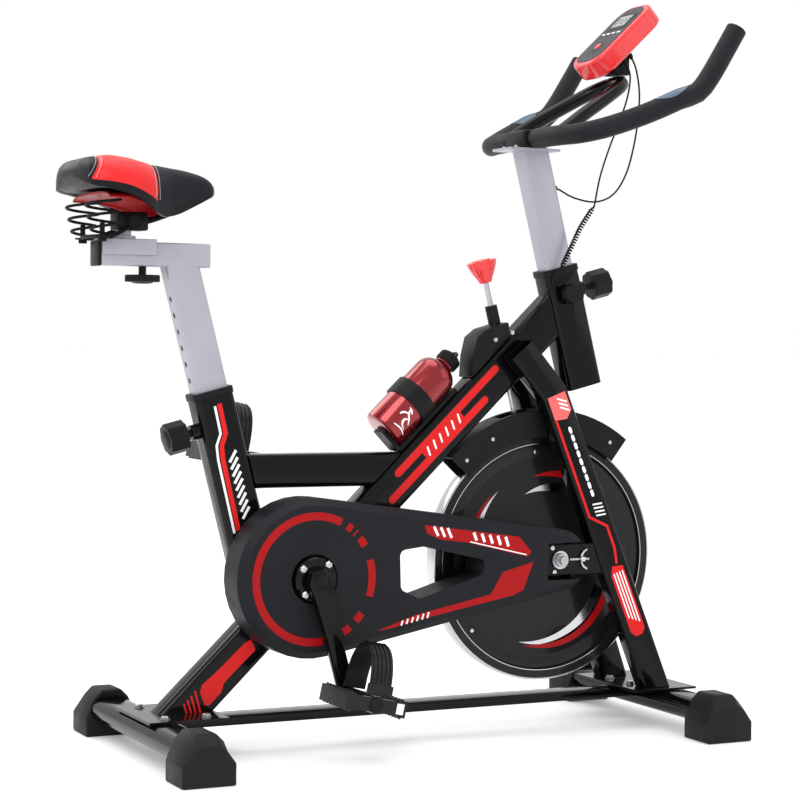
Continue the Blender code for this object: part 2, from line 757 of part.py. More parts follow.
def make_crank_arm(name, side):
    """A crank: a boss on the spindle, a tapering arm and the pedal's own spindle; the right one has a bolt disc."""
    end = crank_end(side)
    inner, outer = (0.092, 0.110)
    bm = bmesh.new()
    along = (end - CRANK_AXIS).normalized()
    across = along.cross(Y)
    rings = []
    for distance, half_width, y_low, y_high in (
        (-0.016, 0.012, inner, outer), (0.0, 0.019, inner, outer + 0.002), (0.030, 0.0155, inner, outer),
        (0.090, 0.0125, inner + 0.004, outer + 0.003),
        (CRANK_LENGTH - 0.012, 0.0125, inner + 0.009, outer + 0.006),
        (CRANK_LENGTH + 0.012, 0.010, inner + 0.009, outer + 0.006),
    ):
        centre = CRANK_AXIS + along * distance
        middle = (y_low + y_high) / 2
        size = (2 * half_width, y_high - y_low)
        ring = []
        for a, b in rounded_rectangle(size[0], size[1], 0.0045, 2):
            ring.append(bm.verts.new(centre + across * a + Y * (side * (middle + b))))
        rings.append(ring)
    for low, high in zip(rings, rings[1:]):
        bridge(bm, low, high)
    bm.faces.new(rings[0])
    bm.faces.new(rings[-1])
    arm = new_object(name, bm, BLACK_PAINT)
    spindle_bore = bar(
        name + "_bore", CRANK_AXIS + Y * (side * 0.070), CRANK_AXIS + Y * (side * 0.1045), 0.0093, STEEL
    )
    pin = bar(name + "_pin", end + Y * (side * 0.108), end + Y * (side * 0.198), 0.0060, STEEL, 16)
    boolean(arm, pin, "UNION")
    if side < 0:
        disc = turned(
            name + "_disc",
            [(0.0, -0.0785), (0.030, -0.0785), (0.0325, -0.081), (0.0325, -0.0905), (0.030, -0.0930),
            (0.0, -0.0930)],
            Vector((CRANK_AXIS.x, 0.0, CRANK_AXIS.z)), Y, BLACK_PAINT, 32,
        )
        boolean(arm, disc, "UNION")
    return boolean(arm, spindle_bore)


def make_pedal(name, side):
    """A pedal with a barrel on its spindle, treads front and back, and open gaps between."""
    axis = crank_end(side)
    inner, outer = 0.1195, 0.2095
    tilt = math.radians(12.0)
    barrel = ring_bar(
        name, axis + Y * (side * inner), axis + Y * (side * outer), 0.0125, 0.0066, BLACK_PLASTIC, 16
    )
    place = Matrix.Translation(axis) @ Matrix.Rotation(tilt, 4, "Y")
    middle = side * (inner + outer) / 2
    span = outer - inner
    pieces = [
        ((0.040, middle, 0.0), (0.014, span, 0.024)),
        ((-0.040, middle, 0.0), (0.014, span, 0.024)),
        ((-0.025, side * (inner + 0.006), 0.0), (0.034, 0.012, 0.020)),
        ((0.025, side * (inner + 0.006), 0.0), (0.034, 0.012, 0.020)),
        ((-0.025, side * (outer - 0.006), 0.0), (0.034, 0.012, 0.020)),
        ((0.025, side * (outer - 0.006), 0.0), (0.034, 0.012, 0.020)),
        ((-0.025, middle, 0.0), (0.034, 0.010, 0.018)),
        ((0.025, middle, 0.0), (0.034, 0.010, 0.018)),
    ]
    for number, (centre, size) in enumerate(pieces):
        piece = block(f"{name}_bar_{number}", place @ Vector(centre), size, BLACK_PLASTIC, tilt)
        boolean(barrel, piece, "UNION")
    return barrel


def make_toe_strap(name, side):
    """The ribbed strap that arches over the foot, between the two ends of the pedal."""
    axis = crank_end(side)
    tilt = math.radians(12.0)
    place = Matrix.Translation(axis) @ Matrix.Rotation(tilt, 4, "Y")
    middle = side * 0.1645
    half_span = 0.0405
    height = 0.068
    width, thickness = 0.034, 0.003
    path = []
    for i in range(17):
        angle = math.pi * i / 16
        path.append((middle + half_span * math.cos(angle), 0.0127 + height * math.sin(angle) ** 0.8))
    bm = bmesh.new()
    rings = []
    for i, (y, z) in enumerate(path):
        before, after = path[max(i - 1, 0)], path[min(i + 1, 16)]
        tangent = Vector((0.0, after[0] - before[0], after[1] - before[1])).normalized()
        normal = Vector((0.0, -tangent.z, tangent.y)) * (thickness / 2)
        centre = Vector((0.002, y, z))
        corners = (
            centre - X * (width / 2) - normal, centre + X * (width / 2) - normal,
            centre + X * (width / 2) + normal, centre - X * (width / 2) + normal,
        )
        rings.append([bm.verts.new(place @ corner) for corner in corners])
    for low, high in zip(rings, rings[1:]):
        bridge(bm, low, high)
    bm.faces.new(rings[0])
    bm.faces.new(rings[-1])
    return new_object(name, bm, RUBBER)


def make_seat_post():
    """The sliding post with the level rail welded on it and a row of height holes in its back."""
    top_z = RAIL_Z - RAIL_HEIGHT / 2 + 0.004
    start = SEAT_TUBE_TOP - UP_LEAN * 0.170
    end = seat_axis_at(top_z)
    post = box_tube("seat_post", start, end, SEAT_POST_DEPTH, POST_WIDTH, SILVER_PAINT, (None, Z),
        corner=0.006)
    rail = box_tube(
        "seat_rail_shape", Vector((RAIL_X[0], 0.0, RAIL_Z)), Vector((RAIL_X[1], 0.0, RAIL_Z)),
        RAIL_HEIGHT, 0.036, SILVER_PAINT, corner=0.003,
    )
    boolean(post, rail, "UNION")
    slot = block("rail_slot", Vector((RAIL_KNOB_X, 0.0, RAIL_Z - RAIL_HEIGHT / 2)), (0.013, 0.013, 0.012),
        SILVER_PAINT)
    boolean(post, slot)
    back = Vector((-math.cos(POST_LEAN), 0.0, -math.sin(POST_LEAN)))
    for number in range(6):
        centre = SEAT_TUBE_TOP + UP_LEAN * (0.030 + 0.024 * number) + back * (SEAT_POST_DEPTH / 2)
        hole = bar(f"height_hole_{number}", centre - back * 0.006, centre + back * 0.006, 0.0045,
            SILVER_PAINT, 10)
        boolean(post, hole)
    return post


def make_rail_plug():
    return block(
        "seat_rail_plug", Vector((RAIL_X[0] - GAP - 0.0025, 0.0, RAIL_Z)), (0.005, 0.038, 0.036),
        BLACK_PLASTIC, width=0.002,
    )


def make_carriage():
    """The channel that straddles the rail and carries the saddle's pin."""
    outer = block("seat_carriage", Vector((-0.4065, 0.0, RAIL_Z + 0.0095)), (0.080, 0.0426, 0.0230),
        SILVER_PAINT, width=0.001)
    space = block("carriage_space", Vector((-0.4065, 0.0, RAIL_Z - 0.0027)), (0.1, 0.0368, 0.0400),
        SILVER_PAINT)
    pin = bar(
        "saddle_pin_shape", Vector((SADDLE_PIN_X, 0.0, RAIL_Z + 0.0195)),
        Vector((SADDLE_PIN_X, 0.0, 0.7600)), 0.0105, STEEL
    )
    base = bar(
        "pin_base_shape", Vector((SADDLE_PIN_X, 0.0, RAIL_Z + 0.0195)),
        Vector((SADDLE_PIN_X, 0.0, RAIL_Z + 0.0255)), 0.017, STEEL
    )
    boolean(outer, space)
    boolean(outer, pin, "UNION")
    return boolean(outer, base, "UNION")


def make_saddle_clamp():
    """The clamp that grips the pin and the saddle's wires."""
    clamp = block("saddle_clamp", Vector((SADDLE_PIN_X + 0.008, 0.0, 0.7620)), (0.046, 0.036, 0.026),
        BLACK_PAINT, width=0.003)
    bore = bar("clamp_bore", Vector((SADDLE_PIN_X, 0.0, 0.70)), Vector((SADDLE_PIN_X, 0.0, 0.7605)), 0.0108,
        BLACK_PAINT)
    return boolean(clamp, bore)


def make_saddle_frame():
    """The saddle's wires from the clamp to its springs and nose, with the two coil springs as turned shapes."""
    wires = None
    for side in (-1, 1):
        path = smooth_path(
            (
                (-0.462, side * 0.046, 0.7560), (-0.440, side * 0.040, 0.7540),
                (-0.415, side * 0.0230, 0.7640),
                (-0.380, side * 0.0225, 0.7660), (-0.345, side * 0.016, 0.7760),
                (-0.325, side * 0.004, 0.7860),
            ),
            0.009,
        )
        wire = swept(f"saddle_frame_wire_{side}", path, [0.0028] * len(path), BLACK_PAINT, 8)
        if wires is None:
            wires = wire
            wires.name = "saddle_frame"
        else:
            boolean(wires, wire, "UNION")
        coil = turned(
            f"saddle_coil_{side}",
            [(0.0, -0.006), (0.008, -0.006), (0.012, 0.0), (0.015, 0.012), (0.012, 0.024), (0.0, 0.0252)],
            Vector((-0.455, side * 0.044, 0.7560)), Z, BLACK_PAINT, 16,
        )
        boolean(wires, coil, "UNION")
    nose = block("saddle_nose_tie", Vector((-0.327, 0.0, 0.7850)), (0.012, 0.020, 0.006), BLACK_PAINT)
    boolean(wires, nose, "UNION")
    cross = block("saddle_rail_tie", Vector((-0.397, 0.0, 0.7790)), (0.020, 0.0520, 0.0070), BLACK_PAINT)
    boolean(wires, cross, "UNION")
    for side in (-1, 1):
        link = block(f"saddle_link_{side}", Vector((-0.397, side * 0.0235, 0.7700)), (0.010, 0.006, 0.020),
            BLACK_PAINT)
        boolean(wires, link, "UNION")
    return wires


# Stations along the saddle: (x, half width, top, skirt edge)
SADDLE_STATIONS = (
    (-0.4935, 0.056, 0.836, 0.815), (-0.482, 0.084, 0.845, 0.806), (-0.458, 0.099, 0.850, 0.801),
    (-0.428, 0.100, 0.849, 0.794), (-0.400, 0.088, 0.846, 0.782), (-0.372, 0.064, 0.842, 0.768),
    (-0.346, 0.044, 0.839, 0.771), (-0.318, 0.035, 0.835, 0.783), (-0.294, 0.029, 0.828, 0.795),
    (-0.276, 0.017, 0.817, 0.803),
)
SADDLE_UNDERSIDE = 0.8035


def arch(half_width, top, edge, count, power):
    points = []
    for i in range(count + 1):
        angle = math.pi * i / count
        c, s = math.cos(angle), math.sin(angle)
        points.append((half_width * math.copysign(abs(c) ** power, c), edge + (top - edge) * s**power))
    return points


def arch_loft(name, sections, look, count=14, power=0.75):
    """A shell whose cross-sections are arches: each is (x, outer half width, top, inner half width, inner top, edge)."""
    bm = bmesh.new()
    rings = []
    for x, half_width, top, inner_half, inner_top, edge in sections:
        outline = arch(half_width, top, edge, count, power)
        outline += list(reversed(arch(inner_half, inner_top, edge, count, power)))
        rings.append([bm.verts.new((x, y, z)) for y, z in outline])
    for low, high in zip(rings, rings[1:]):
        bridge(bm, low, high)
    for ring in (rings[0], rings[-1]):
        size = len(ring)
        for i in range(size // 2 - 1):
            bm.faces.new((ring[i], ring[i + 1], ring[size - 2 - i], ring[size - 1 - i]))
    return new_object(name, bm, look)


def make_saddle():
    sections = [
        (x, half, top, half - 0.011, max(SADDLE_UNDERSIDE, edge + 0.003), edge)
        for x, half, top, edge in SADDLE_STATIONS
    ]
    return arch_loft("saddle", sections, VINYL)


def make_saddle_base():
    sections = [
        (x, half - 0.0150, SADDLE_UNDERSIDE - 0.0025, half - 0.0185, SADDLE_UNDERSIDE - 0.0060,
        min(edge + 0.0020, 0.7905))
        for x, half, _, edge in SADDLE_STATIONS[2:8]
    ]
    return arch_loft("saddle_base", sections, RED_PLASTIC)


def fluted(radius, count, depth=0.05, samples=4):
    total = count * samples
    return [
        (
            radius * (1 - depth + depth * math.cos(math.tau * i / samples)) * math.cos(math.tau * i / total),
            radius * (1 - depth + depth * math.cos(math.tau * i / samples)) * math.sin(math.tau * i / total),
        )
        for i in range(total)
    ]


def make_knob(name, base, axis, radius, shank_from, head_from, head_to, flutes=8):
    """A fluted hand knob with its threaded shank; the distances run outwards along the axis from base."""
    side = Y if abs(axis.dot(Y)) < 0.9 else X
    knob = prism(
        name, fluted(radius, flutes), base + axis * head_from, base + axis * head_to, BLACK_PLASTIC, side=side
    )
    shank = prism(
        name + "_shank", circle(0.0055, 12), base + axis * shank_from, base + axis * (head_from + 0.004),
        STEEL, side=side
    )
    return boolean(knob, shank, "UNION")


def add_boss(tube, name, base, axis, reach):
    """A threaded boss on a tube's wall, bored through."""
    side = Y if abs(axis.dot(Y)) < 0.9 else X
    boss = prism(name, circle(0.0115, 20), base + axis * (-0.001), base + axis * reach, BLACK_PAINT,
        side=side)
    bore = prism(name + "_bore", circle(0.0060, 12), base - axis * 0.006, base + axis * (reach + 0.01),
        BLACK_PAINT, side=side)
    boolean(tube, boss, "UNION")
    boolean(tube, bore)


FRONT = Vector((math.cos(POST_LEAN), 0.0, math.sin(POST_LEAN)))


def make_handlebar_post():
    start = HEAD_TUBE_TOP - UP_LEAN * 0.118
    end = head_axis_at(0.8915)
    post = box_tube("handlebar_post", start, end, BAR_POST_DEPTH, POST_WIDTH, SILVER_PAINT, (None, Z),
        corner=0.006)
    plate = block("bar_plate", Vector((BAR_X + 0.002, 0.0, 0.8915)), (0.086, 0.060, 0.004), SILVER_PAINT)
    boolean(post, plate, "UNION")
    face = head_axis_at(0.834) + FRONT * (BAR_POST_DEPTH / 2)
    hole = bar("lead_hole", face - FRONT * 0.006, face + FRONT * 0.006, 0.0035, SILVER_PAINT, 10)
    return boolean(post, hole)


def half_bar_route():
    """One half of the handlebar's centre line, from the clamp out to the grip's end."""
    sweep = 0.155
    straight = BAR_HALF_WIDTH - sweep
    route = [Vector((BAR_X, 0.0, 0.9073)), Vector((BAR_X, straight * 0.6, 0.9073))]
    rises = ((10, 0.9073), (25, 0.908), (40, 0.914), (55, 0.926), (70, 0.942), (82, 0.957))
    for degrees, height in rises:
        angle = math.radians(degrees)
        route.append(
            Vector((BAR_X + sweep * (1 - math.cos(angle)), straight + sweep * math.sin(angle), height))
        )
    route += [Vector((0.400, BAR_HALF_WIDTH, 0.968)), Vector((0.420, BAR_HALF_WIDTH, 0.990)),
              Vector((0.444, BAR_HALF_WIDTH, 1.027)), Vector((0.468, BAR_HALF_WIDTH, 1.066))]
    return route


def make_handlebar():
    """The swept bar with its foam grips: bare in the clamp, thicker where the foam starts."""
    left = smooth_path(half_bar_route(), 0.016)
    path = [Vector((p.x, -p.y, p.z)) for p in reversed(left[1:])] + left
    radii = [BAR_RADIUS if abs(p.y) < 0.036 else GRIP_RADIUS for p in path]
    return swept("handlebar", path, radii, FOAM, 14)


def make_inner_loop():
    """The painted forearm loop from the bar, forward and up to the console."""
    left = [Vector((0.2560, 0.080, 0.9160)), Vector((0.300, 0.070, 0.945)), Vector((0.345, 0.056, 0.972)),
            Vector((0.380, 0.040, 0.993)), Vector((0.396, 0.020, 1.0025)), Vector((0.400, 0.0, 1.0045))]
    route = [Vector((p.x, -p.y, p.z)) for p in left[:-1]] + list(reversed(left))
    path = smooth_path(route, 0.014)
    return swept("inner_loop", path, [0.0110] * len(path), BLACK_PAINT, 12)


def make_handlebar_clamp():
    clamp = block("handlebar_clamp", Vector((BAR_X, 0.0, 0.9074)), (0.036, 0.056, 0.0272), BLACK_PAINT,
        width=0.003)
    bore = bar("clamp_bar_bore", Vector((BAR_X, -0.05, 0.9073)), Vector((BAR_X, 0.05, 0.9073)), 0.0129,
        BLACK_PAINT, 24)
    return boolean(clamp, bore)


CONSOLE_CENTRE = Vector((0.398, 0.0, 1.068))
CONSOLE_TILT = math.radians(43.5)
CONSOLE_FACE = Vector((-math.sin(CONSOLE_TILT), 0.0, math.cos(CONSOLE_TILT)))
CONSOLE_UP = Vector((math.cos(CONSOLE_TILT), 0.0, math.sin(CONSOLE_TILT)))
CONSOLE_HALF = 0.016
BUTTON_SHIFT = -0.030


def make_console_shell():
    outline = rounded_rectangle(0.148, 0.088, 0.030, 6)
    shell = prism(
        "console_shell", outline, CONSOLE_CENTRE - CONSOLE_FACE * CONSOLE_HALF,
        CONSOLE_CENTRE + CONSOLE_FACE * CONSOLE_HALF, RED_PLASTIC,
    )
    bevel(shell, 0.006, 3)
    seat = CONSOLE_CENTRE + CONSOLE_UP * BUTTON_SHIFT + CONSOLE_FACE * CONSOLE_HALF
    well = bar("button_well", seat - CONSOLE_FACE * 0.008, seat + CONSOLE_FACE * 0.01, 0.0072, RED_PLASTIC,
        20)
    return boolean(shell, well)


def make_console_button():
    seat = CONSOLE_CENTRE + CONSOLE_UP * BUTTON_SHIFT + CONSOLE_FACE * CONSOLE_HALF
    button = bar("console_button", seat - CONSOLE_FACE * 0.0055, seat + CONSOLE_FACE * 0.0020, 0.0066,
        RED_PLASTIC, 20)
    return bevel(button, 0.0008, 2)


def make_console_bracket():
    """The saddle-shaped bracket between the loop's front bend and the console's back."""
    x = 0.398
    start = Vector((x, 0.0, 1.0045 + 0.0110 + GAP))
    back = CONSOLE_CENTRE - CONSOLE_FACE * (CONSOLE_HALF + GAP)
    height = back.z + (x - back.x) * math.tan(CONSOLE_TILT)
    return prism(
        "console_bracket", rounded_rectangle(0.030, 0.036, 0.004), start, Vector((x, 0.0, height)),
        BLACK_PLASTIC, (Z, CONSOLE_FACE),
    )


def make_brake_parts():
    rod = bar("brake_rod", rod_point(0.4750), rod_point(0.6865), 0.0040, STEEL, 16)
    knob_base = rod_point(0.6870)
    lengths = ((0.0, 0.0095), (0.004, 0.0110), (0.018, 0.0185), (0.030, 0.0230), (0.034, 0.0225))
    bm = bmesh.new()
    rings = [
        loop_on(bm, fluted(radius, 12, 0.035 if 0.003 < along < 0.032 else 0.0),
            knob_base + UP_LEAN * along, UP_LEAN)
        for along, radius in lengths
    ]
    for low, high in zip(rings, rings[1:]):
        bridge(bm, low, high)
    bm.faces.new(rings[0])
    bm.faces.new(rings[-1])
    knob = new_object("tension_knob", bm, RED_PLASTIC)
    shoe = block(
        "brake_shoe", rod_point(0.4665), (0.046, 0.020, 0.0150), FELT, -POST_LEAN, 0.002,
    )
    sleeve = ring_bar("brake_sleeve", rod_point(0.6246), rod_point(0.6520), 0.0095, 0.0048, BLACK_PLASTIC, 20)
    return rod, knob, shoe, sleeve


def sector(name, inner, outer, half_width, start, end, look, count=20):
    """A solid arc about the wheel's axis, between two angles in degrees."""
    bm = bmesh.new()
    rings = []
    for radius, y in ((inner, -half_width), (outer, -half_width), (outer, half_width), (inner, half_width)):
        ring = []
        for i in range(count + 1):
            angle = math.radians(start + (end - start) * i / count)
            ring.append(
                bm.verts.new((WHEEL_AXIS.x + radius * math.cos(angle), y,
                WHEEL_AXIS.z + radius * math.sin(angle)))
            )
        rings.append(ring)
    for low, high in zip(rings, rings[1:] + rings[:1]):
        for i in range(count):
            bm.faces.new((low[i], low[i + 1], high[i + 1], high[i]))
    for i in (0, count):
        bm.faces.new([ring[i] for ring in rings])
    return new_object(name, bm, look)


def make_wheel_guard():
    """The guard over the top of the wheel: an arched channel with a hole for the brake."""
    guard = sector("wheel_guard", 0.186, 0.2290, 0.0232, 52.0, 137.0, BLACK_PLASTIC)
    channel = sector("guard_channel", 0.150, 0.2260, 0.0205, 45.0, 145.0, BLACK_PLASTIC)
    boolean(guard, channel)
    opening = block("guard_opening", rod_point(0.4860), (0.060, 0.030, 0.060), BLACK_PLASTIC, -POST_LEAN)
    return boolean(guard, opening)


def make_brake_housing():
    """The moulded cover on top of the main tube, over the brake's rod."""
    corners = ((0.146, 0.552), (0.139, 0.575), (0.146, 0.604), (0.162, 0.6165), (0.200, 0.6275),
        (0.2300, 0.6335))
    normal = Vector((-MAIN_DIR.z, 0.0, MAIN_DIR.x))
    lift = TUBE_DEPTH / 2 + GAP
    low = main_axis_at(corners[0][0]) + normal * lift
    high = main_axis_at(corners[-1][0] - 0.006) + normal * lift
    outline = list(corners[1:-1]) + [(high.x, high.z), (low.x + 0.012, low.z + 0.0116)]
    housing = plan_prism("brake_housing", ((outline, -0.0235), (outline, 0.0235)), BLACK_PLASTIC)
    bevel(housing, 0.003, 2)
    middle = Vector((sum(p[0] for p in outline), sum(p[1] for p in outline))) / len(outline)
    inner = [tuple(middle + (Vector(p) - middle) * 0.82 + Vector((0.006, -0.006))) for p in outline]
    space = plan_prism("housing_space", ((inner, -0.0205), (inner, 0.0205)), BLACK_PLASTIC)
    boolean(housing, space)
    hole = bar("housing_hole", rod_point(0.560), rod_point(0.660), 0.0060, BLACK_PLASTIC, 16)
    return boolean(housing, hole)


BOTTLE_RADIUS = 0.0330
BOTTLE_BASE = Vector((-0.002, 0.0, 0.4620))


def make_bottle():
    """The drinks bottle with its shoulder, neck and screw cap."""
    profile = [
        (0.0, 0.0), (0.029, 0.0), (BOTTLE_RADIUS, 0.004), (BOTTLE_RADIUS, 0.118), (0.030, 0.128),
        (0.0185, 0.138),
        (0.0150, 0.141), (0.0150, 0.1435), (0.0170, 0.144), (0.0170, 0.160), (0.015, 0.163), (0.0, 0.163),
    ]
    return turned("water_bottle", profile, BOTTLE_BASE, MAIN_DIR, RED_METAL, 32)


def make_bottle_cage():
    """The holder: a strap round the bottle, a shelf under it and a foot on the main tube."""
    normal = Vector((-MAIN_DIR.z, 0.0, MAIN_DIR.x))
    strap = ring_bar(
        "bottle_cage", BOTTLE_BASE + MAIN_DIR * 0.052, BOTTLE_BASE + MAIN_DIR * 0.080,
        BOTTLE_RADIUS + 0.0033, BOTTLE_RADIUS + GAP, BLACK_PLASTIC, 32,
    )
    tube_top = (MAIN_POINT - BOTTLE_BASE).dot(normal) + TUBE_DEPTH / 2 + GAP
    foot_centre = BOTTLE_BASE + MAIN_DIR * 0.063 + normal * ((tube_top - BOTTLE_RADIUS) / 2 - 0.0005)
    foot = block(
        "cage_foot", foot_centre, (0.130, 0.026, (-tube_top - BOTTLE_RADIUS) - 0.0010), BLACK_PLASTIC,
        -MAIN_ANGLE,
    )
    shelf = block(
        "cage_shelf", BOTTLE_BASE - MAIN_DIR * 0.0035 + normal * (tube_top / 2 + 0.004),
        (0.006, 0.030, -tube_top), BLACK_PLASTIC, -MAIN_ANGLE,
    )
    boolean(strap, foot, "UNION")
    return boolean(strap, shelf, "UNION")


LEAD_RADIUS = 0.0014
COIL_RADIUS = 0.0044
PULSE_ROUTE = (
    (0.4100, -0.020, 1.0480), (0.4180, -0.026, 1.0270), (0.4220, -0.031, 0.9900), (0.4200, -0.032, 0.9500),
    (0.4140, -0.030, 0.9050), (0.4020, -0.027, 0.8600), (0.3820, -0.022, 0.8280), (0.3540, -0.014, 0.8160),
    (0.3200, -0.006, 0.8220), (0.2990, -0.001, 0.8330), (0.2900, 0.0, 0.8356),
)
SENSOR_ROUTE = (
    (0.3980, -0.024, 1.0370), (0.4060, -0.029, 1.0150), (0.4000, -0.032, 0.9800), (0.3850, -0.033, 0.9400),
    (0.3680, -0.033, 0.9000), (0.3520, -0.033, 0.8550), (0.3420, -0.033, 0.8090),
)
COIL_ROUTE = (
    (0.3417, -0.033, 0.8080), (0.3300, -0.033, 0.7920), (0.3170, -0.033, 0.7730), (0.3050, -0.033, 0.7500),
    (0.2930, -0.032, 0.7260), (0.2840, -0.0315, 0.7090),
)
LOWER_ROUTE = (
    (0.2836, -0.0310, 0.7082), (0.2760, -0.0290, 0.6950), (0.2660, -0.0242, 0.6760),
    (0.2560, -0.0235, 0.6600),
    (0.2420, -0.0235, 0.6400), (0.2280, -0.0235, 0.6230), (0.2150, -0.0255, 0.6090),
)


def make_leads():
    curve_tube("pulse_lead", smooth_path(PULSE_ROUTE, 0.008), LEAD_RADIUS, RUBBER)
    curve_tube("sensor_lead", smooth_path(SENSOR_ROUTE, 0.008), LEAD_RADIUS, RUBBER)
    curve_tube("sensor_lead_coil", smooth_path(COIL_ROUTE, 0.012), COIL_RADIUS, RUBBER)
    curve_tube("sensor_lead_lower", smooth_path(LOWER_ROUTE, 0.008), LEAD_RADIUS, RUBBER)


def make_frame():
    make_main_tube()
    seat_tube = make_seat_tube()
    knob_base = seat_axis_at(0.4720) - FRONT * (TUBE_DEPTH / 2)
    add_boss(seat_tube, "seat_boss", knob_base, -FRONT, 0.012)
    make_knob("seat_height_knob", knob_base, -FRONT, 0.0235, -0.0035, 0.021, 0.050)
    make_top_tube()
    head_tube = make_head_tube()
    front_base = head_axis_at(0.6720) + FRONT * (TUBE_DEPTH / 2)
    add_boss(head_tube, "head_boss", front_base, FRONT, 0.010)
    make_knob("head_knob_front", front_base, FRONT, 0.0230, -0.0045, 0.024, 0.054)
    side_base = head_axis_at(0.6720) - Y * (SLEEVE_WIDTH / 2)
    add_boss(head_tube, "head_side_boss", side_base, -Y, 0.006)
    make_knob("head_knob_side", side_base, -Y, 0.0165, -0.0025, 0.0095, 0.026, flutes=6)
    make_collar("seat_tube_collar", SEAT_TUBE_TOP, SEAT_POST_DEPTH)
    make_collar("head_tube_collar", HEAD_TUBE_TOP, BAR_POST_DEPTH)
    make_fork_leg("fork_leg_right", -1)
    make_fork_leg("fork_leg_left", 1)
    make_front_plate()
    make_base_bar()
    for end, x in (("rear", REAR_FOOT_X), ("front", FRONT_FOOT_X)):
        make_beam(f"{end}_stabilizer", x)
        make_foot_cap(f"foot_cap_{end}_right", x, -1)
        make_foot_cap(f"foot_cap_{end}_left", x, 1)


def make_drive():
    make_flywheel()
    make_wheel_pulley()
    make_wheel_axle()
    make_spindle()
    make_crank_pulley()
    for name, side in (("right", -1), ("left", 1)):
        make_crank_arm(f"crank_arm_{name}", side)
        make_pedal(f"pedal_{name}", side)
        make_toe_strap(f"toe_strap_{name}", side)
    make_drive_belt()
    make_chain_cover_inner()
    make_chain_cover_outer()


def make_seat():
    make_seat_post()
    make_rail_plug()
    make_carriage()
    rail_base = Vector((RAIL_KNOB_X, 0.0, RAIL_Z - RAIL_HEIGHT / 2))
    make_knob("seat_rail_knob", rail_base, -Z, 0.0260, -0.006, 0.0120, 0.0220, flutes=5)
    make_saddle_clamp()
    make_saddle_frame()
    make_saddle_base()
    make_saddle()


def make_cockpit():
    make_handlebar_post()
    make_handlebar_clamp()
    make_handlebar()
    make_inner_loop()
    make_console_bracket()
    make_console_shell()
    make_console_button()


def joint_axes():
    """(name, place, parent, pieces) of each moving body: a point on its joint's axis and what moves with it."""
    saddle = ("seat_carriage", "saddle_clamp", "saddle_frame", "saddle_base", "saddle")
    cockpit = ("handlebar_post", "handlebar_clamp", "handlebar", "inner_loop", "console_bracket",
        "console_shell")
    knob_height = seat_axis_at(0.4720)
    head_height = head_axis_at(0.6720)
    crank = ("crank_spindle", "crank_pulley", "crank_arm_right", "crank_arm_left")
    return (
        ("flywheel_axis", WHEEL_AXIS, "spin_bike", ("flywheel", "flywheel_pulley")),
        ("crank_axis", CRANK_AXIS, "spin_bike", crank),
        ("pedal_right_axis", crank_end(-1), "crank_axis", ("pedal_right", "toe_strap_right")),
        ("pedal_left_axis", crank_end(1), "crank_axis", ("pedal_left", "toe_strap_left")),
        ("seat_height", SEAT_TUBE_TOP, "spin_bike", ("seat_post", "seat_rail_plug")),
        ("seat_reach", Vector((SADDLE_PIN_X, 0.0, RAIL_Z)), "seat_height", saddle),
        ("rail_knob_axis", Vector((RAIL_KNOB_X, 0.0, RAIL_Z)), "seat_height", ("seat_rail_knob",)),
        ("seat_knob_axis", knob_height, "spin_bike", ("seat_height_knob",)),
        ("head_knob_front_axis", head_height, "spin_bike", ("head_knob_front",)),
        ("head_knob_side_axis", head_height, "spin_bike", ("head_knob_side",)),
        ("handlebar_height", HEAD_TUBE_TOP, "spin_bike", cockpit),
        ("console_press", CONSOLE_CENTRE, "handlebar_height", ("console_button",)),
        ("brake_slide", rod_point(0.617), "spin_bike", ("brake_rod",)),
        ("tension_axis", rod_point(0.687), "brake_slide", ("tension_knob",)),
        ("shoe_slide", rod_point(0.4665), "brake_slide", ("brake_shoe",)),
        ("bottle_slide", BOTTLE_BASE, "spin_bike", ("water_bottle",)),
    )


def add_empty(name, place, parent=None):
    empty = bpy.data.objects.new(name, None)
    empty.empty_display_size = 0.03
    bpy.context.scene.collection.objects.link(empty)
    if parent:
        attach(empty, parent[0], parent[1])
        empty.location = place - parent[1]
        empty.matrix_parent_inverse = Matrix.Identity(4)
    return empty


def attach(obj, empty, place):
    """Parents an object drawn in the bike's own coordinates to an empty that stands at place."""
    obj.parent = empty
    obj.matrix_parent_inverse = Matrix.Translation(-place)


def assemble():
    """Hangs every piece on an empty at its joint, and all of them on one that centres the bike."""
    pieces = list(bpy.data.objects)
    origin = Vector((0.0, 0.0, 0.0))
    bike = add_empty("spin_bike", origin)
    bike.location = X * -MIDDLE_X
    stands = {"spin_bike": (bike, origin)}
    for name, place, parent, held in joint_axes():
        empty = add_empty(name, place, stands[parent])
        stands[name] = (empty, place)
        for piece in held:
            attach(bpy.data.objects[piece], empty, place)
    for piece in pieces:
        if piece.parent is None:
            attach(piece, bike, origin)


def main():
    clear_scene()
    make_frame()
    make_drive()
    make_seat()
    make_cockpit()
    make_brake_parts()
    make_wheel_guard()
    make_brake_housing()
    make_bottle()
    make_bottle_cage()
    make_leads()
    assemble()


main()
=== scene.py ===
"""Looks for the indoor spin bike: materials, stickers, fittings, leads and saddle on its CAD frame."""

import json
import math

import bmesh
import bpy
from mathutils import Matrix, Vector

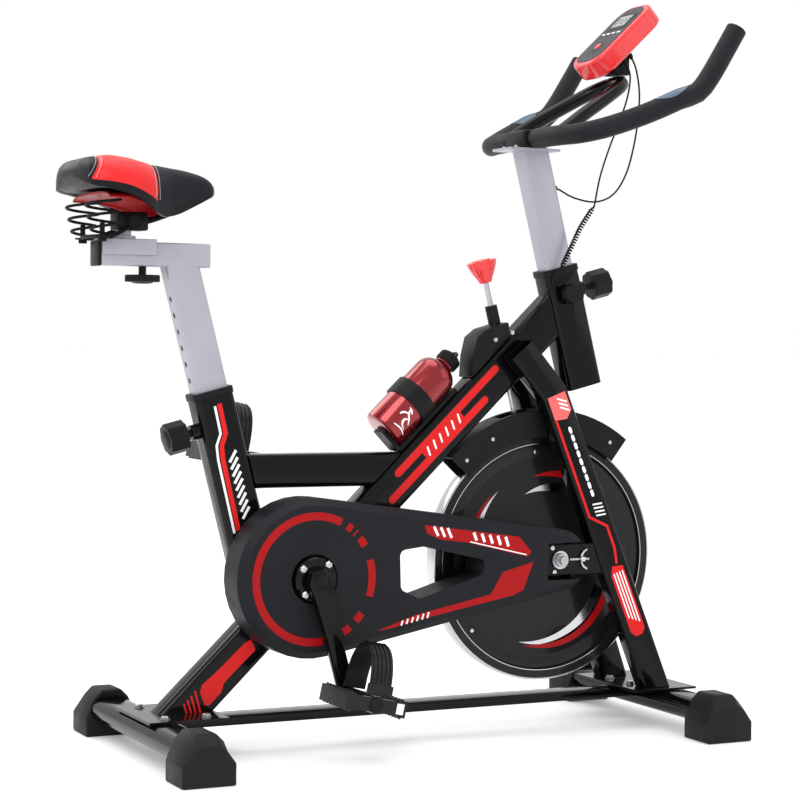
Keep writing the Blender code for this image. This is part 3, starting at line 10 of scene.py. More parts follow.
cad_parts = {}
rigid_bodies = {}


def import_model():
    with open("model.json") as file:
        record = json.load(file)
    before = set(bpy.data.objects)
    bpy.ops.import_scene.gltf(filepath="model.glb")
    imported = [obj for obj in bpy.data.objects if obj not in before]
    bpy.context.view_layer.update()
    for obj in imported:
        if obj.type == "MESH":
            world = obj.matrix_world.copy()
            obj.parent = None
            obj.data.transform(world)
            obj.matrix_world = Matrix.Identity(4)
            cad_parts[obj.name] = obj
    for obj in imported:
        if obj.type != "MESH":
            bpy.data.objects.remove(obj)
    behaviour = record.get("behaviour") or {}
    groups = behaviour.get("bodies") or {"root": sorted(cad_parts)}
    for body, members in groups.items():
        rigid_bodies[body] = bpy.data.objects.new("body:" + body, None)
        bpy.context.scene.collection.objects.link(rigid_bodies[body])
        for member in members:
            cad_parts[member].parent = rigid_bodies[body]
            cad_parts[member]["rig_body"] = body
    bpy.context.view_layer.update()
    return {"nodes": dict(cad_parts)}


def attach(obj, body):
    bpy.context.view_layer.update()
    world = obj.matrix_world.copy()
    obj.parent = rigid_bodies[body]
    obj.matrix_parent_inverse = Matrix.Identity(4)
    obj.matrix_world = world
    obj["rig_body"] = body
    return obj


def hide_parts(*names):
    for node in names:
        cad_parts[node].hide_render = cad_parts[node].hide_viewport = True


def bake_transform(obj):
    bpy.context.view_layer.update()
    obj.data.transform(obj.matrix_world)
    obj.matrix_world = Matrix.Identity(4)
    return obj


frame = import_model()
NODES = frame["nodes"]
BODY = {name: obj["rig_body"] for name, obj in NODES.items()}

X, Y, Z = Vector((1, 0, 0)), Vector((0, 1, 0)), Vector((0, 0, 1))
SHIFT = Vector((-0.00625, 0.0, 0.0))  # from the drawing's zero to the frame's
LEAN, SLOPE = math.radians(14.5), math.radians(43.9)
UP_LEAN = Vector((-math.sin(LEAN), 0.0, math.cos(LEAN)))
FRONT = Vector((math.cos(LEAN), 0.0, math.sin(LEAN)))
MAIN_DIR = Vector((math.cos(SLOPE), 0.0, math.sin(SLOPE)))
MAIN_NORMAL = Vector((-math.sin(SLOPE), 0.0, math.cos(SLOPE)))
MAIN_POINT = Vector((0.0, 0.0, 0.367))
CRANK = Vector((-0.147, 0.0, 0.254))
WHEEL = Vector((0.271, 0.0, 0.265))
SEAT_TOP = Vector((-0.277, 0.0, 0.514))
HEAD_TOP = Vector((0.2945, 0.0, 0.703))
BRAKE_ROD = Vector((0.189, 0.0, 0.617))
BOTTLE_BASE = Vector((-0.002, 0.0, 0.462))
SIDES = ((-1, "right"), (1, "left"))

CRANK_LENGTH = 0.17
PEDAL_MIDDLE = 0.1645  # of the pedal's tread, from the bike's middle plane
PEDAL_TILT = math.radians(12.0)
AXLE_PLATE = 0.0616  # outer face of the fork's axle plate, from the middle plane
COVER_FACE = -0.08503  # just proud of the drive cover's outer face
WHEEL_FACE = 0.00755  # just proud of the disc's flat face
SEAT_KNOB_Z, HEAD_KNOB_Z, BRAKE_KNOB_Z = 0.472, 0.672, 0.687
LEAD_RADIUS = 0.0014
GRIP_SKIN = 0.0159  # radius of the films on the grips
PRINT_RADIUS = 0.03309  # of the print on the bottle
CROWN = 0.62  # below 1, the saddle's cross-section is squarer than an ellipse


def add_camera():
    """The camera at the picture's own angle."""
    azimuth, elevation, roll = math.radians(-25.955), math.radians(1.69), math.radians(0.601)
    back = Vector((
        math.sin(azimuth) * math.cos(elevation), -math.cos(azimuth) * math.cos(elevation),
        math.sin(elevation)
    ))
    level = Vector((math.cos(azimuth), math.sin(azimuth), 0.0))
    upright = back.cross(level)
    right = level * math.cos(roll) + upright * math.sin(roll)
    up = upright * math.cos(roll) - level * math.sin(roll)
    data = bpy.data.cameras.new("camera")
    data.sensor_width = 36.0
    data.lens = 98.0
    camera = bpy.data.objects.new("camera", data)
    bpy.context.scene.collection.objects.link(camera)
    place = Matrix((right, up, back)).transposed().to_4x4()
    place.translation = Vector((-1.4034, -2.939, 0.6047)) + SHIFT
    camera.matrix_world = place
    bpy.context.scene.camera = camera


# Materials


def link(tree, source, output, target, socket):
    tree.links.new(source.outputs[output], target.inputs[socket])


def mapped_noise(tree, scale, stretch, detail=3.0):
    """A noise texture in the object's own coordinates, stretched along its axes."""
    coords = tree.nodes.new("ShaderNodeTexCoord")
    mapping = tree.nodes.new("ShaderNodeMapping")
    mapping.inputs["Scale"].default_value = stretch
    noise = tree.nodes.new("ShaderNodeTexNoise")
    noise.inputs["Scale"].default_value = scale
    noise.inputs["Detail"].default_value = detail
    link(tree, coords, "Object", mapping, "Vector")
    link(tree, mapping, "Vector", noise, "Vector")
    return noise


def cells(tree, scale):
    coords = tree.nodes.new("ShaderNodeTexCoord")
    voronoi = tree.nodes.new("ShaderNodeTexVoronoi")
    voronoi.inputs["Scale"].default_value = scale
    link(tree, coords, "Object", voronoi, "Vector")
    return voronoi


def ranged(tree, source, output, low, high):
    span = tree.nodes.new("ShaderNodeMapRange")
    span.inputs["From Min"].default_value = 0.3
    span.inputs["From Max"].default_value = 0.7
    span.inputs["To Min"].default_value = low
    span.inputs["To Max"].default_value = high
    link(tree, source, output, span, "Value")
    return span


def surface(name, color, rough, metal=0.0, coat=0.0, grain=300.0, depth=0.05, relief=0.0002, vary=0.1,
            stretch=(1, 1, 1), pattern="noise", rough_vary=0.06, sheen=0.0, shine=0.5):
    """A Principled material whose colour, roughness and relief vary a little over the surface."""
    made = bpy.data.materials.new(name)
    made.use_nodes = True
    tree = made.node_tree
    shader = tree.nodes["Principled BSDF"]
    shader.inputs["Metallic"].default_value = metal
    shader.inputs["Coat Weight"].default_value = coat
    shader.inputs["Specular IOR Level"].default_value = shine
    shader.inputs["Coat Roughness"].default_value = 0.06
    shader.inputs["Sheen Weight"].default_value = sheen
    patches = mapped_noise(tree, 14.0, stretch)
    tint = tree.nodes.new("ShaderNodeMix")
    tint.data_type = "RGBA"
    tint.inputs[6].default_value = (*[c * (1 - vary) for c in color], 1.0)
    tint.inputs[7].default_value = (*[min(1.0, c * (1 + vary)) for c in color], 1.0)
    tree.links.new(ranged(tree, patches, "Fac", 0.0, 1.0).outputs["Result"], tint.inputs[0])
    tree.links.new(tint.outputs[2], shader.inputs["Base Color"])
    smudges = mapped_noise(tree, 38.0, stretch)
    rough_range = ranged(tree, smudges, "Fac", max(0.02, rough - rough_vary), min(1.0, rough + rough_vary))
    link(tree, rough_range, "Result", shader, "Roughness")
    bump = tree.nodes.new("ShaderNodeBump")
    bump.inputs["Strength"].default_value = depth
    bump.inputs["Distance"].default_value = relief
    if pattern == "cells":
        link(tree, cells(tree, grain), "Distance", bump, "Height")
    else:
        link(tree, mapped_noise(tree, grain, stretch, 2.0), "Fac", bump, "Height")
    link(tree, bump, "Normal", shader, "Normal")
    return made


M = {
    "paint": surface("gloss_black_paint", (0.0022, 0.0022, 0.0028), 0.12, shine=0.12, coat=0.1, grain=240,
                     depth=0.06),
    "silver": surface("silver_paint", (0.335, 0.335, 0.385), 0.36, metal=0.25, coat=0.15, grain=900,
                      depth=0.08, vary=0.04),
    "plastic": surface("black_plastic", (0.0065, 0.0065, 0.0078), 0.42, shine=0.13, grain=1300, depth=0.3,
                       relief=0.0003),
    "tread": surface("tread_plastic", (0.006, 0.006, 0.007), 0.3, shine=0.24, grain=1300, depth=0.2),
    "cover": surface("charcoal_plastic", (0.0105, 0.0105, 0.0135), 0.48, shine=0.13, grain=1500,
                     depth=0.35, relief=0.0003),
    "foot": surface("foot_plastic", (0.011, 0.011, 0.0122), 0.52, shine=0.13, grain=1100, depth=0.4,
                    relief=0.0004),
    "foam": surface("foam_grip", (0.011, 0.0112, 0.014), 0.5, shine=0.13, grain=900, depth=0.55,
                    relief=0.0006, pattern="cells"),
    "rubber": surface("black_rubber", (0.006, 0.006, 0.0064), 0.62, shine=0.13, grain=800, depth=0.3),
    "steel": surface("bright_steel", (0.42, 0.42, 0.44), 0.26, metal=1.0, grain=500, depth=0.1,
                     stretch=(1, 1, 9)),
    "chrome": surface("chrome", (0.5, 0.5, 0.52), 0.16, metal=1.0, depth=0.03, vary=0.03, rough_vary=0.03),
    "band": surface("polished_band", (0.52, 0.52, 0.54), 0.17, metal=1.0, grain=260, vary=0.05),
    "disc": surface("disc_lacquer", (0.006, 0.006, 0.0072), 0.34, shine=0.13, coat=0.25, grain=700,
                    depth=0.25, relief=0.0003),
    "iron": surface("cast_iron", (0.05, 0.05, 0.054), 0.5, metal=0.6, grain=500, depth=0.5, relief=0.0004),
    "red": surface("red_plastic", (0.66, 0.012, 0.016), 0.27, coat=0.4, grain=500, vary=0.05),
    "decal": surface("red_sticker", (0.62, 0.012, 0.012), 0.33, shine=0.15, depth=0.03, vary=0.04),
    "shell": surface("saddle_shell_red", (0.34, 0.006, 0.007), 0.4, shine=0.15, grain=600, depth=0.15),
    "dark_decal": surface("deep_red_sticker", (0.33, 0.003, 0.004), 0.36, shine=0.15, depth=0.03,
                          vary=0.05),
    "pink": surface("pink_sticker", (0.8, 0.105, 0.1), 0.35, depth=0.03, vary=0.05),
    "white": surface("white_sticker", (0.84, 0.84, 0.84), 0.38, depth=0.03, vary=0.03),
    "line": surface("black_sticker", (0.01, 0.01, 0.011), 0.35, shine=0.15, depth=0.03),
    "bottle": surface("bottle_red", (0.24, 0.0015, 0.006), 0.2, metal=0.75, coat=0.7, depth=0.04,
                      vary=0.08),
    "red_vinyl": surface("red_vinyl", (0.66, 0.02, 0.022), 0.4, shine=0.15, grain=720, depth=0.35,
                         relief=0.0004, pattern="cells", vary=0.05),
    "dark_vinyl": surface("charcoal_vinyl", (0.008, 0.008, 0.012), 0.46, shine=0.13, grain=720, depth=0.4,
                          relief=0.0004, pattern="cells"),
    "thread": surface("thread", (0.72, 0.62, 0.6), 0.7, grain=2500, depth=0.5),
    "grey": surface("console_grey", (0.042, 0.042, 0.05), 0.42, shine=0.13, grain=900, depth=0.15),
    "lcd": surface("display", (0.2, 0.24, 0.2), 0.12, coat=0.8, grain=200, depth=0.01, vary=0.03,
                   rough_vary=0.02),
    "segment": surface("display_digits", (0.03, 0.035, 0.03), 0.3, grain=200, depth=0.01),
    "blue": surface("sensor_film", (0.045, 0.08, 0.12), 0.22, metal=0.4, depth=0.03, vary=0.2),
    "felt": surface("felt", (0.3, 0.27, 0.22), 0.95, grain=900, depth=0.8, relief=0.001, sheen=0.5),
}

# Shapes


def keep(obj, mats, body, stands_for=()):
    """Gives the piece its materials and body, and hides the CAD nodes that it stands for."""
    for mat in mats if isinstance(mats, (list, tuple)) else (mats,):
        obj.data.materials.append(M[mat])
    if body:
        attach(obj, body)
    if stands_for:
        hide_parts(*stands_for)
    return obj


def shape(name, bm, mats, body, stands_for=(), smooth=35.0, shift=True):
    """A mesh piece drawn in the drawing's coordinates and moved into the frame's."""
    bmesh.ops.remove_doubles(bm, verts=bm.verts, dist=1e-6)
    bmesh.ops.recalc_face_normals(bm, faces=bm.faces)
    if shift:
        bmesh.ops.translate(bm, vec=SHIFT, verts=bm.verts)
    mesh = bpy.data.meshes.new(name)
    bm.to_mesh(mesh)
    bm.free()
    mesh.shade_smooth()
    mesh.set_sharp_from_angle(angle=math.radians(smooth))
    obj = bpy.data.objects.new(name, mesh)
    bpy.context.scene.collection.objects.link(obj)
    return keep(obj, mats, body, stands_for)


def soften(obj, width, segments=2, angle=32.0):
    made = obj.modifiers.new("Bevel", "BEVEL")
    made.width = width
    made.segments = segments
    made.limit_method = "ANGLE"
    made.angle_limit = math.radians(angle)
    made.harden_normals = True
    return obj


def dress(node, mat, edge=0.0007, smooth=32.0):
    """The node's own shape with flat faces made whole, its edges softened and a richer material."""
    bm = bmesh.new()
    bm.from_mesh(NODES[node].data)
    bmesh.ops.remove_doubles(bm, verts=bm.verts, dist=1e-5)
    bmesh.ops.dissolve_limit(bm, angle_limit=math.radians(0.6), verts=bm.verts, edges=bm.edges)
    obj = shape(node + "_skin", bm, mat, BODY[node], (node,), smooth, shift=False)
    return soften(obj, edge) if edge else obj


def across(axis, side=None):
    axis = axis.normalized()
    side = side or (Y if abs(axis.dot(Y)) < 0.9 else X)
    second = (side - axis * axis.dot(side)).normalized()
    return second.cross(axis).normalized(), second


def spin(first, second, angle):
    """The direction at an angle from first towards second."""
    return first * math.cos(angle) + second * math.sin(angle)


def courses(path):
    """The direction that a path takes at each of its points."""
    last = len(path) - 1
    return [path[min(i + 1, last)] - path[max(i - 1, 0)] for i in range(last + 1)]


def leaned(point, z):
    """The point at height z on the leaning line through the given one."""
    return point + UP_LEAN * ((z - point.z) / UP_LEAN.z)


def bridge(bm, low, high):
    count = len(low)
    for i in range(count):
        bm.faces.new((low[i], low[(i + 1) % count], high[(i + 1) % count], high[i]))


def turned(name, profile, centre, axis, mat, body, count=48, **more):
    """A turned piece from (radius, distance along the axis) points."""
    bm = bmesh.new()
    first, second = across(axis)
    axis = axis.normalized()
    rings = []
    for radius, along in profile:
        if radius < 1e-6:
            rings.append([bm.verts.new(centre + axis * along)] * count)
            continue
        rings.append([
            bm.verts.new(centre + axis * along + spin(first, second, math.tau * i / count) * radius)
            for i in range(count)
        ])
    closed = profile[0][0] > 1e-6
    for low, high in list(zip(rings, rings[1:])) + ([(rings[-1], rings[0])] if closed else []):
        for i in range(count):
            j = (i + 1) % count
            face = list(dict.fromkeys((low[i], low[j], high[j], high[i])))
            if len(face) > 2:
                bm.faces.new(face)
    return shape(name, bm, mat, body, **more)


def tube(name, path, radius, mat, body, count=10, **more):
    """A round bar along a path of points, with one radius or one for each point."""
    bm = bmesh.new()
    side = None
    rings = []
    radii = radius if isinstance(radius, (list, tuple)) else [radius] * len(path)
    for point, ahead, reach in zip(path, courses(path), radii):
        first, side = across(ahead, side)
        rings.append([bm.verts.new(point + spin(first, side, math.tau * k / count) * reach)
                      for k in range(count)])
    for low, high in zip(rings, rings[1:]):
        bridge(bm, low, high)
    bm.faces.new(rings[0])
    bm.faces.new(rings[-1])
    return shape(name, bm, mat, body, **more)


def spline(points, spacing):
    """Points about spacing apart on a smooth curve through the given ones."""
    route = [Vector(p) for p in points]
    route = [route[0] * 2 - route[1]] + route + [route[-1] * 2 - route[-2]]
    path = []
    for p0, p1, p2, p3 in zip(route, route[1:], route[2:], route[3:]):
        steps = max(1, round((p2 - p1).length / spacing))
        for i in range(steps):
            t = i / steps
            path.append(0.5 * (2 * p1 + (p2 - p0) * t + (2 * p0 - 5 * p1 + 4 * p2 - p3) * t**2
                               + (3 * p1 - p0 - 3 * p2 + p3) * t**3))
    return path + [route[-2]]


def slabs(name, outlines, origin, u, v, thick, mat, body, **more):
    """Flat pieces of one thickness: (u, v) points on the plane through origin, raised along u x v."""
    bm = bmesh.new()
    normal = u.cross(v).normalized() * thick
    for outline in outlines:
        low = [bm.verts.new(origin + u * a + v * b) for a, b in outline]
        high = [bm.verts.new(vert.co + normal) for vert in low]
        bridge(bm, low, high)
        bm.faces.new(low)
        bm.faces.new(high)
    return shape(name, bm, mat, body, **more)


def sticker(name, outlines, origin, u, v, out, mat, body, thick=0.00022):
    """Flat outlines raised along out, whichever way round u and v are."""
    if u.cross(v).dot(out) < 0:
        u, v = v, u
        outlines = [[(b, a) for a, b in outline] for outline in outlines]
    slabs(name, outlines, origin, u, v, thick, mat, body)


def both_sides(name, outlines, centre, u, v, offset, mat, body, thick=0.00025):
    """The same sticker on the right and the left face of a tube, offset from its middle plane."""
    for side, label in SIDES:
        sticker(f"{name}_{label}", outlines, centre + Y * (side * offset), u, v, Y * side, mat, body, thick)


def bars(count, a, b, width, step, far_step=None, round_ends=False):
    """A row of bars from a to b, each a step further on. A far_step of its own makes them fan out."""
    found = []
    for i in range(count):
        near, far = [(x + dx * i, y + dy * i) for (x, y), (dx, dy) in ((a, step), (b, far_step or step))]
        found.append(stripe(near, far, width, 3) if round_ends else ribbon((near, far), width))
    return found


def moved(outline, du, dv=0.0):
    return [(a + du, b + dv) for a, b in outline]


def box(name, centre, size, mat, body, turn=0.0, edge=0.0008, **more):
    bm = bmesh.new()
    bmesh.ops.create_cube(bm, size=1.0)
    place = Matrix.Translation(centre) @ Matrix.Rotation(turn, 4, "Y") @ Matrix.Diagonal((*size, 1.0))
    bmesh.ops.transform(bm, matrix=place, verts=bm.verts)
    return soften(shape(name, bm, mat, body, **more), edge)


def hex_bolt(name, base, axis, size, mat, body, washer=True):
    """A bolt head with its washer, standing on a face."""
    height = size * 0.62
    profile = [(0.0, 0.0), (size * 1.25, 0.0), (size * 1.25, size * 0.18), (0.0, size * 0.18)]
    if washer:
        turned(name + "_washer", profile, base, axis, mat, body, 28)
    head = [(0.0, size * 0.18), (size, size * 0.18), (size, height), (size * 0.86, height + size * 0.12),
            (0.0, height + size * 0.12)]
    return turned(name, head, base, axis, mat, body, 6, smooth=20.0)


def screw(name, spot, side, body, radii, heights, count=18):
    """A low screw head that faces sideways: its two radii, and the heights of its shoulder and its top."""
    profile = [(0.0, 0.0), (radii[0], 0.0), (radii[1], heights[0]), (0.0, heights[1])]
    return turned(name, profile, spot, Y * side, "chrome", body, count)


def rounded(half_u, half_v, corner, segments=6):
    """A rectangle with round corners, as an outline."""
    points = []
    for quarter, (su, sv) in enumerate(((1, 1), (-1, 1), (-1, -1), (1, -1))):
        for step in range(segments + 1):
            angle = math.radians(90.0) * (quarter + step / segments)
            points.append((su * (half_u - corner) + corner * math.cos(angle),
                           sv * (half_v - corner) + corner * math.sin(angle)))
    return points


def stripe(a, b, width, segments=6):
    """A straight bar with round ends from a to b, as an outline."""
    a, b = Vector(a), Vector(b)
    turn = math.atan2(b.y - a.y, b.x - a.x)
    points = []
    for centre, start in ((b, turn - math.pi / 2), (a, turn + math.pi / 2)):
        for step in range(segments + 1):
            angle = start + math.pi * step / segments
            points.append((centre.x + width / 2 * math.cos(angle), centre.y + width / 2 * math.sin(angle)))
    return points


def arc_band(inner, outer, start, end, steps=0):
    """A flat band round the origin between two radii and two angles in degrees."""
    steps = steps or max(3, int(abs(end - start) / 4))
    angles = [math.radians(start + (end - start) * i / steps) for i in range(steps + 1)]
    return ([(outer * math.cos(t), outer * math.sin(t)) for t in angles]
            + [(inner * math.cos(t), inner * math.sin(t)) for t in reversed(angles)])


def ribbon(points, width):
    """A strip of one width along a bent line, with mitred corners, as an outline."""
    line = [Vector(p) for p in points]
    left, right = [], []
    for i, point in enumerate(line):
        before = (point - line[i - 1]).normalized() if i else (line[1] - point).normalized()
        after = (line[i + 1] - point).normalized() if i + 1 < len(line) else before
        middle = (before + after).normalized()
        normal = Vector((-middle.y, middle.x)) * (width / 2 / max(0.5, middle.dot(before)))
        left.append(tuple(point + normal))
        right.append(tuple(point - normal))
    return left + right[::-1]


def dress_frame():
    for node in ("main_tube", "seat_tube", "top_tube", "head_tube", "fork_leg_right", "fork_leg_left",
                 "base_bar", "front_mount_plate", "rear_stabilizer", "front_stabilizer"):
        dress(node, "paint", 0.0007)
    for node in ("seat_tube_collar", "head_tube_collar", "brake_housing", "wheel_guard",
                 "brake_sleeve", "bottle_cage"):
        dress(node, "plastic", 0.0008)
    for place in ("rear_right", "rear_left", "front_right", "front_left"):
        dress(f"foot_cap_{place}", "foot", 0.0008)
    dress("chain_cover_outer", "cover", 0.0016)
    dress("chain_cover_inner", "cover", 0.0005)
    dress("drive_belt", "rubber", 0)


def add_main_stickers():
    """On the main tube, a long double bar with slanted ticks above, and a bent flash with stripes below."""
    upper = [stripe((0.259, 0.0125), (0.034, 0.0125), 0.0115),
             stripe((0.214, -0.0095), (0.0, -0.0095), 0.0115),
             [(0.171, -0.0037), (0.171, 0.0067), (0.083, 0.0067), (0.083, -0.0037)]]
    border = [stripe((0.26, 0.0125), (0.033, 0.0125), 0.015),
              stripe((0.215, -0.0095), (-0.001, -0.0095), 0.015)]
    ticks = bars(6, (0.1655, 0.0068), (0.1605, -0.0048), 0.003, (-0.014, 0.0), round_ends=True)
    lower = [ribbon(pair, 0.003) for pair in (
        ((-0.4094, 0.0135), (-0.425, -0.015)), ((-0.4181, 0.013), (-0.431, -0.0115)),
        ((-0.4263, 0.0125), (-0.436, -0.007)), ((-0.434, 0.0125), (-0.44, -0.0005)))]
    flash = [(-0.2988, 0.0046), (-0.3052, -0.012), (-0.3535, -0.0105), (-0.3723, -0.0112),
             (-0.3824, -0.0172), (-0.409, -0.0178), (-0.4135, -0.012), (-0.406, 0.006),
             (-0.3965, 0.012), (-0.3642, 0.0092), (-0.3101, 0.0078)]
    place = (MAIN_POINT, MAIN_DIR, MAIN_NORMAL)
    both_sides("main_sticker_border", border, *place, 0.02005, "line", "frame", 0.00015)
    both_sides("main_sticker", upper, *place, 0.02012, "decal", "frame", 0.00022)
    both_sides("main_sticker_ticks", ticks, *place, 0.0203, "white", "frame", 0.00022)
    both_sides("main_flash", lower + [flash], *place, 0.02005, "decal", "frame", 0.00025)


def add_seat_stickers():
    """The white and red kinked lines and white slashes on the seat tube."""
    white = ribbon(((-0.0125, -0.004), (-0.053, -0.005), (-0.068, -0.015), (-0.089, -0.0178),
                    (-0.1978, -0.0192)), 0.0036)
    red = ribbon(((-0.0104, 0.0035), (-0.0547, 0.0025), (-0.07, -0.0075), (-0.09, -0.0105),
                  (-0.1956, -0.0122)), 0.007)
    slashes = bars(9, (-0.0965, -0.0015), (-0.082, 0.012), 0.004, (-0.0845 / 8, 0.0))
    place = (SEAT_TOP, UP_LEAN, FRONT)
    both_sides("seat_tube_white", [white] + slashes, *place, 0.02105, "white", "frame")
    both_sides("seat_tube_red", [red], *place, 0.0211, "decal", "frame")


def add_leg_stickers():
    """The flashes and lines down both fork legs."""
    top = [(0.004, -0.016), (0.004, 0.016), (0.034, 0.0165), (0.045, 0.004), (0.04, -0.0165)]
    bends = ((0.04, -0.0145), (0.2, -0.015), (0.224, 0.0085), (0.2605, 0.0085), (0.285, 0.003))
    foot = [(0.286, -0.006), (0.291, 0.012), (0.396, 0.013), (0.4035, 0.006), (0.4035, -0.006),
            (0.394, -0.013), (0.3, -0.013)]
    dashes = bars(9, (0.06, 0.003), (0.0665, 0.003), 0.0052, (0.013, 0.0), round_ends=True)
    dashes += bars(4, (0.184, -0.003), (0.188, 0.0135), 0.0024, (0.006, 0.0))
    fan = bars(4, (0.298, -0.0075), (0.372, -0.0075), 0.0022, (0.0, 0.0052), (0.004, 0.0052))
    drawn = (
        ("block", [top], "pink", 0.0),
        ("bars", bars(3, (0.01, -0.001), (0.02, 0.013), 0.0026, (0.007, 0.0)), "white", 0.0002),
        ("line", [ribbon(bends, 0.0042), foot], "decal", 0.0),
        ("block_bars", fan, "white", 0.0002),
        ("dashes", dashes, "white", 0.0),
    )
    knee_drop = 0.0353 + 0.0529 * 0.065
    for side, label in SIDES:
        along = Vector((0.3584, side * 0.0494, -0.9336)).normalized()
        wide = Vector((0.9336, 0.0, 0.3584))
        out = (Y - along * along.dot(Y)).normalized() * side
        origin = Vector((0.265, side * knee_drop, 0.52)) + out * 0.01505
        for name, outlines, mat, lift in drawn:
            sticker(f"leg_{name}_{label}", outlines, origin + out * lift, along, wide, out, mat, "frame")


def add_cover_stickers():
    """The broken ring round the crank and the two-armed banner on the drive cover."""
    arcs = ((63, 278), (50.5, 56), (44.8, 46.2), (30, 39), (-18, 16), (-44, -35), (-60, -52))
    ring = [arc_band(0.085, 0.0965, a, b) for a, b in arcs]
    middle = Vector((CRANK.x, COVER_FACE, CRANK.z))
    sticker("cover_ring", ring, middle, X, Z, -Y, "dark_decal", "frame", 0.00025)
    banner = [
        [(0.0284, 0.327), (0.1873, 0.305), (0.2086, 0.2817), (0.2017, 0.2746), (0.1014, 0.299),
         (0.0541, 0.305), (0.0326, 0.3146)],
        [(0.2123, 0.2663), (0.1954, 0.225), (0.1781, 0.2172), (0.0155, 0.1868), (-0.023, 0.1778),
         (-0.047, 0.175), (0.0153, 0.1952), (0.1401, 0.2203), (0.1603, 0.253)],
    ]
    marks = bars(3, (0.0438, 0.3245), (0.0507, 0.3105), 0.004, (0.0112, -0.0015), (0.0112, -0.0018))
    marks.append(ribbon(((0.104, 0.3), (0.2, 0.2775)), 0.0016))
    marks += bars(5, (0.11, 0.3135), (0.115, 0.3015), 0.0044, (0.0135, -0.002), (0.0135, -0.0026))
    marks += bars(6, (-0.0085, 0.1808), (-0.006, 0.188), 0.0026, (0.0085, 0.0018), (0.0085, 0.0021))
    sticker("cover_banner", banner, Y * COVER_FACE, X, Z, -Y, "dark_decal", "frame")
    sticker("cover_marks", marks, Y * (COVER_FACE - 0.0002), X, Z, -Y, "white", "frame")


def crescent(tip, sweep, tip_radius, inner_end, outer_end, swell=0.0, steps=26):
    """A pointed band round the origin that widens from its tip."""
    inner, outer = [], []
    for i in range(steps + 1):
        t = i / steps
        angle = math.radians(tip + sweep * t)
        bulge = swell * math.sin(math.pi * t)
        low = tip_radius + (inner_end - tip_radius) * t - bulge * 0.4
        high = tip_radius + (outer_end - tip_radius) * t + bulge
        inner.append((low * math.cos(angle), low * math.sin(angle)))
        outer.append((high * math.cos(angle), high * math.sin(angle)))
    return outer + inner[:0:-1]


def add_flywheel():
    """The disc with its polished rim, a polished hairline ring on each face as a painted highlight of the
    chamfer's glint, and the silver and red crescents on both faces.
    """
    rim = [(0.1882, 0.0125), (0.1895, 0.0125), (0.1905, 0.012), (0.191, 0.0108)]
    rim += [(r, -y) for r, y in reversed(rim)]
    turned("flywheel_rim", rim, WHEEL, Y, "band", "flywheel", 128)
    disc = [(0.0086, 0.0195), (0.036, 0.0195), (0.0385, 0.017), (0.04, 0.0075), (0.15, 0.0075),
            (0.152, 0.0068), (0.156, 0.0068), (0.158, 0.0075), (0.1722, 0.0075), (0.1745, 0.0123),
            (0.188, 0.0123)]
    disc += [(r, -y) for r, y in reversed(disc)]
    turned("flywheel_disc", disc, WHEEL, Y, "disc", "flywheel", 128, stands_for=("flywheel",))
    # On each face, a polished hairline ring just inside the rim: a painted highlight that stands for the
    # glint on the chamfer between the rim and the disc.
    for side, label in SIDES:
        turned(f"wheel_painted_glint_{label}", [(0.1752, 0.0), (0.1752, 0.0003), (0.1762, 0.0003), (0.1762, 0.0)],
               WHEEL + Y * (side * 0.01235), Y * side, "band", "flywheel", 128)
    silver = [crescent(253, 82, 0.1367, 0.105, 0.124, 0.004),
              crescent(108, -60, 0.102, 0.104, 0.127, 0.002),
              crescent(127, 78, 0.1296, 0.1, 0.116, 0.002)]
    red = [crescent(256, 76, 0.14, 0.1262, 0.137, 0.006),
           crescent(99, -54, 0.125, 0.1295, 0.142, 0.004),
           crescent(131, 70, 0.132, 0.1185, 0.13, 0.003)]
    radii, heights = (0.0034, 0.003), (0.0013, 0.0018)
    for side, label in SIDES:
        face = WHEEL + Y * (side * WHEEL_FACE)
        for name, outlines, mat in (("silver", silver, "band"), ("red", red, "dark_decal")):
            sticker(f"wheel_{name}_{label}", outlines, face, X, Z, Y * side, mat, "flywheel", 0.0003)
        for degrees in (95, 222, 340):
            spot = WHEEL + spin(X, Z, math.radians(degrees)) * 0.1635 + Y * (side * 0.0075)
            screw(f"wheel_screw_{label}_{degrees}", spot, side, "flywheel", radii, heights)
    dress("flywheel_pulley", "iron", 0.0004)
    dress("flywheel_axle", "steel", 0.0005)


def add_axle_fittings():
    """The ring round each end of the axle, its tension screw with the wing nut, and the plates' screws."""
    eye = [(0.0108, 0.0003), (0.0138, 0.0003), (0.0138, 0.004), (0.0108, 0.004)]
    hub = [(0.0026, 0.0), (0.0062, 0.0), (0.005, 0.008), (0.0026, 0.008)]
    radii, heights = (0.004, 0.0034), (0.0018, 0.0024)
    for side, label in SIDES:
        face = WHEEL + Y * (side * AXLE_PLATE)
        turned(f"axle_eye_{label}", eye, face, Y * side, "chrome", "frame", 36)
        start = face + X * 0.016 + Y * (side * 0.0026)
        tube(f"tension_screw_{label}", [start, start + X * 0.034], 0.0024, "steel", "frame", 12)
        turned(f"wing_hub_{label}", hub, start + X * 0.018, X, "chrome", "frame", 20)
        for lean, way in ((-1, "down"), (1, "up")):
            foot = start + X * 0.021
            wing = [foot + Z * (lean * 0.0045), foot + Z * (lean * 0.011) + X * 0.004,
                    foot + Z * (lean * 0.015) + X * 0.01]
            tube(f"wing_{label}_{way}", wing, [0.0018, 0.0024, 0.002], "chrome", "frame", 10)
        for x, z in ((0.258, 0.2835), (0.262, 0.2465)):
            spot = Vector((x, side * AXLE_PLATE, z))
            screw(f"plate_bolt_{label}_{round(z * 1e3)}", spot, side, "frame", radii, heights, 20)


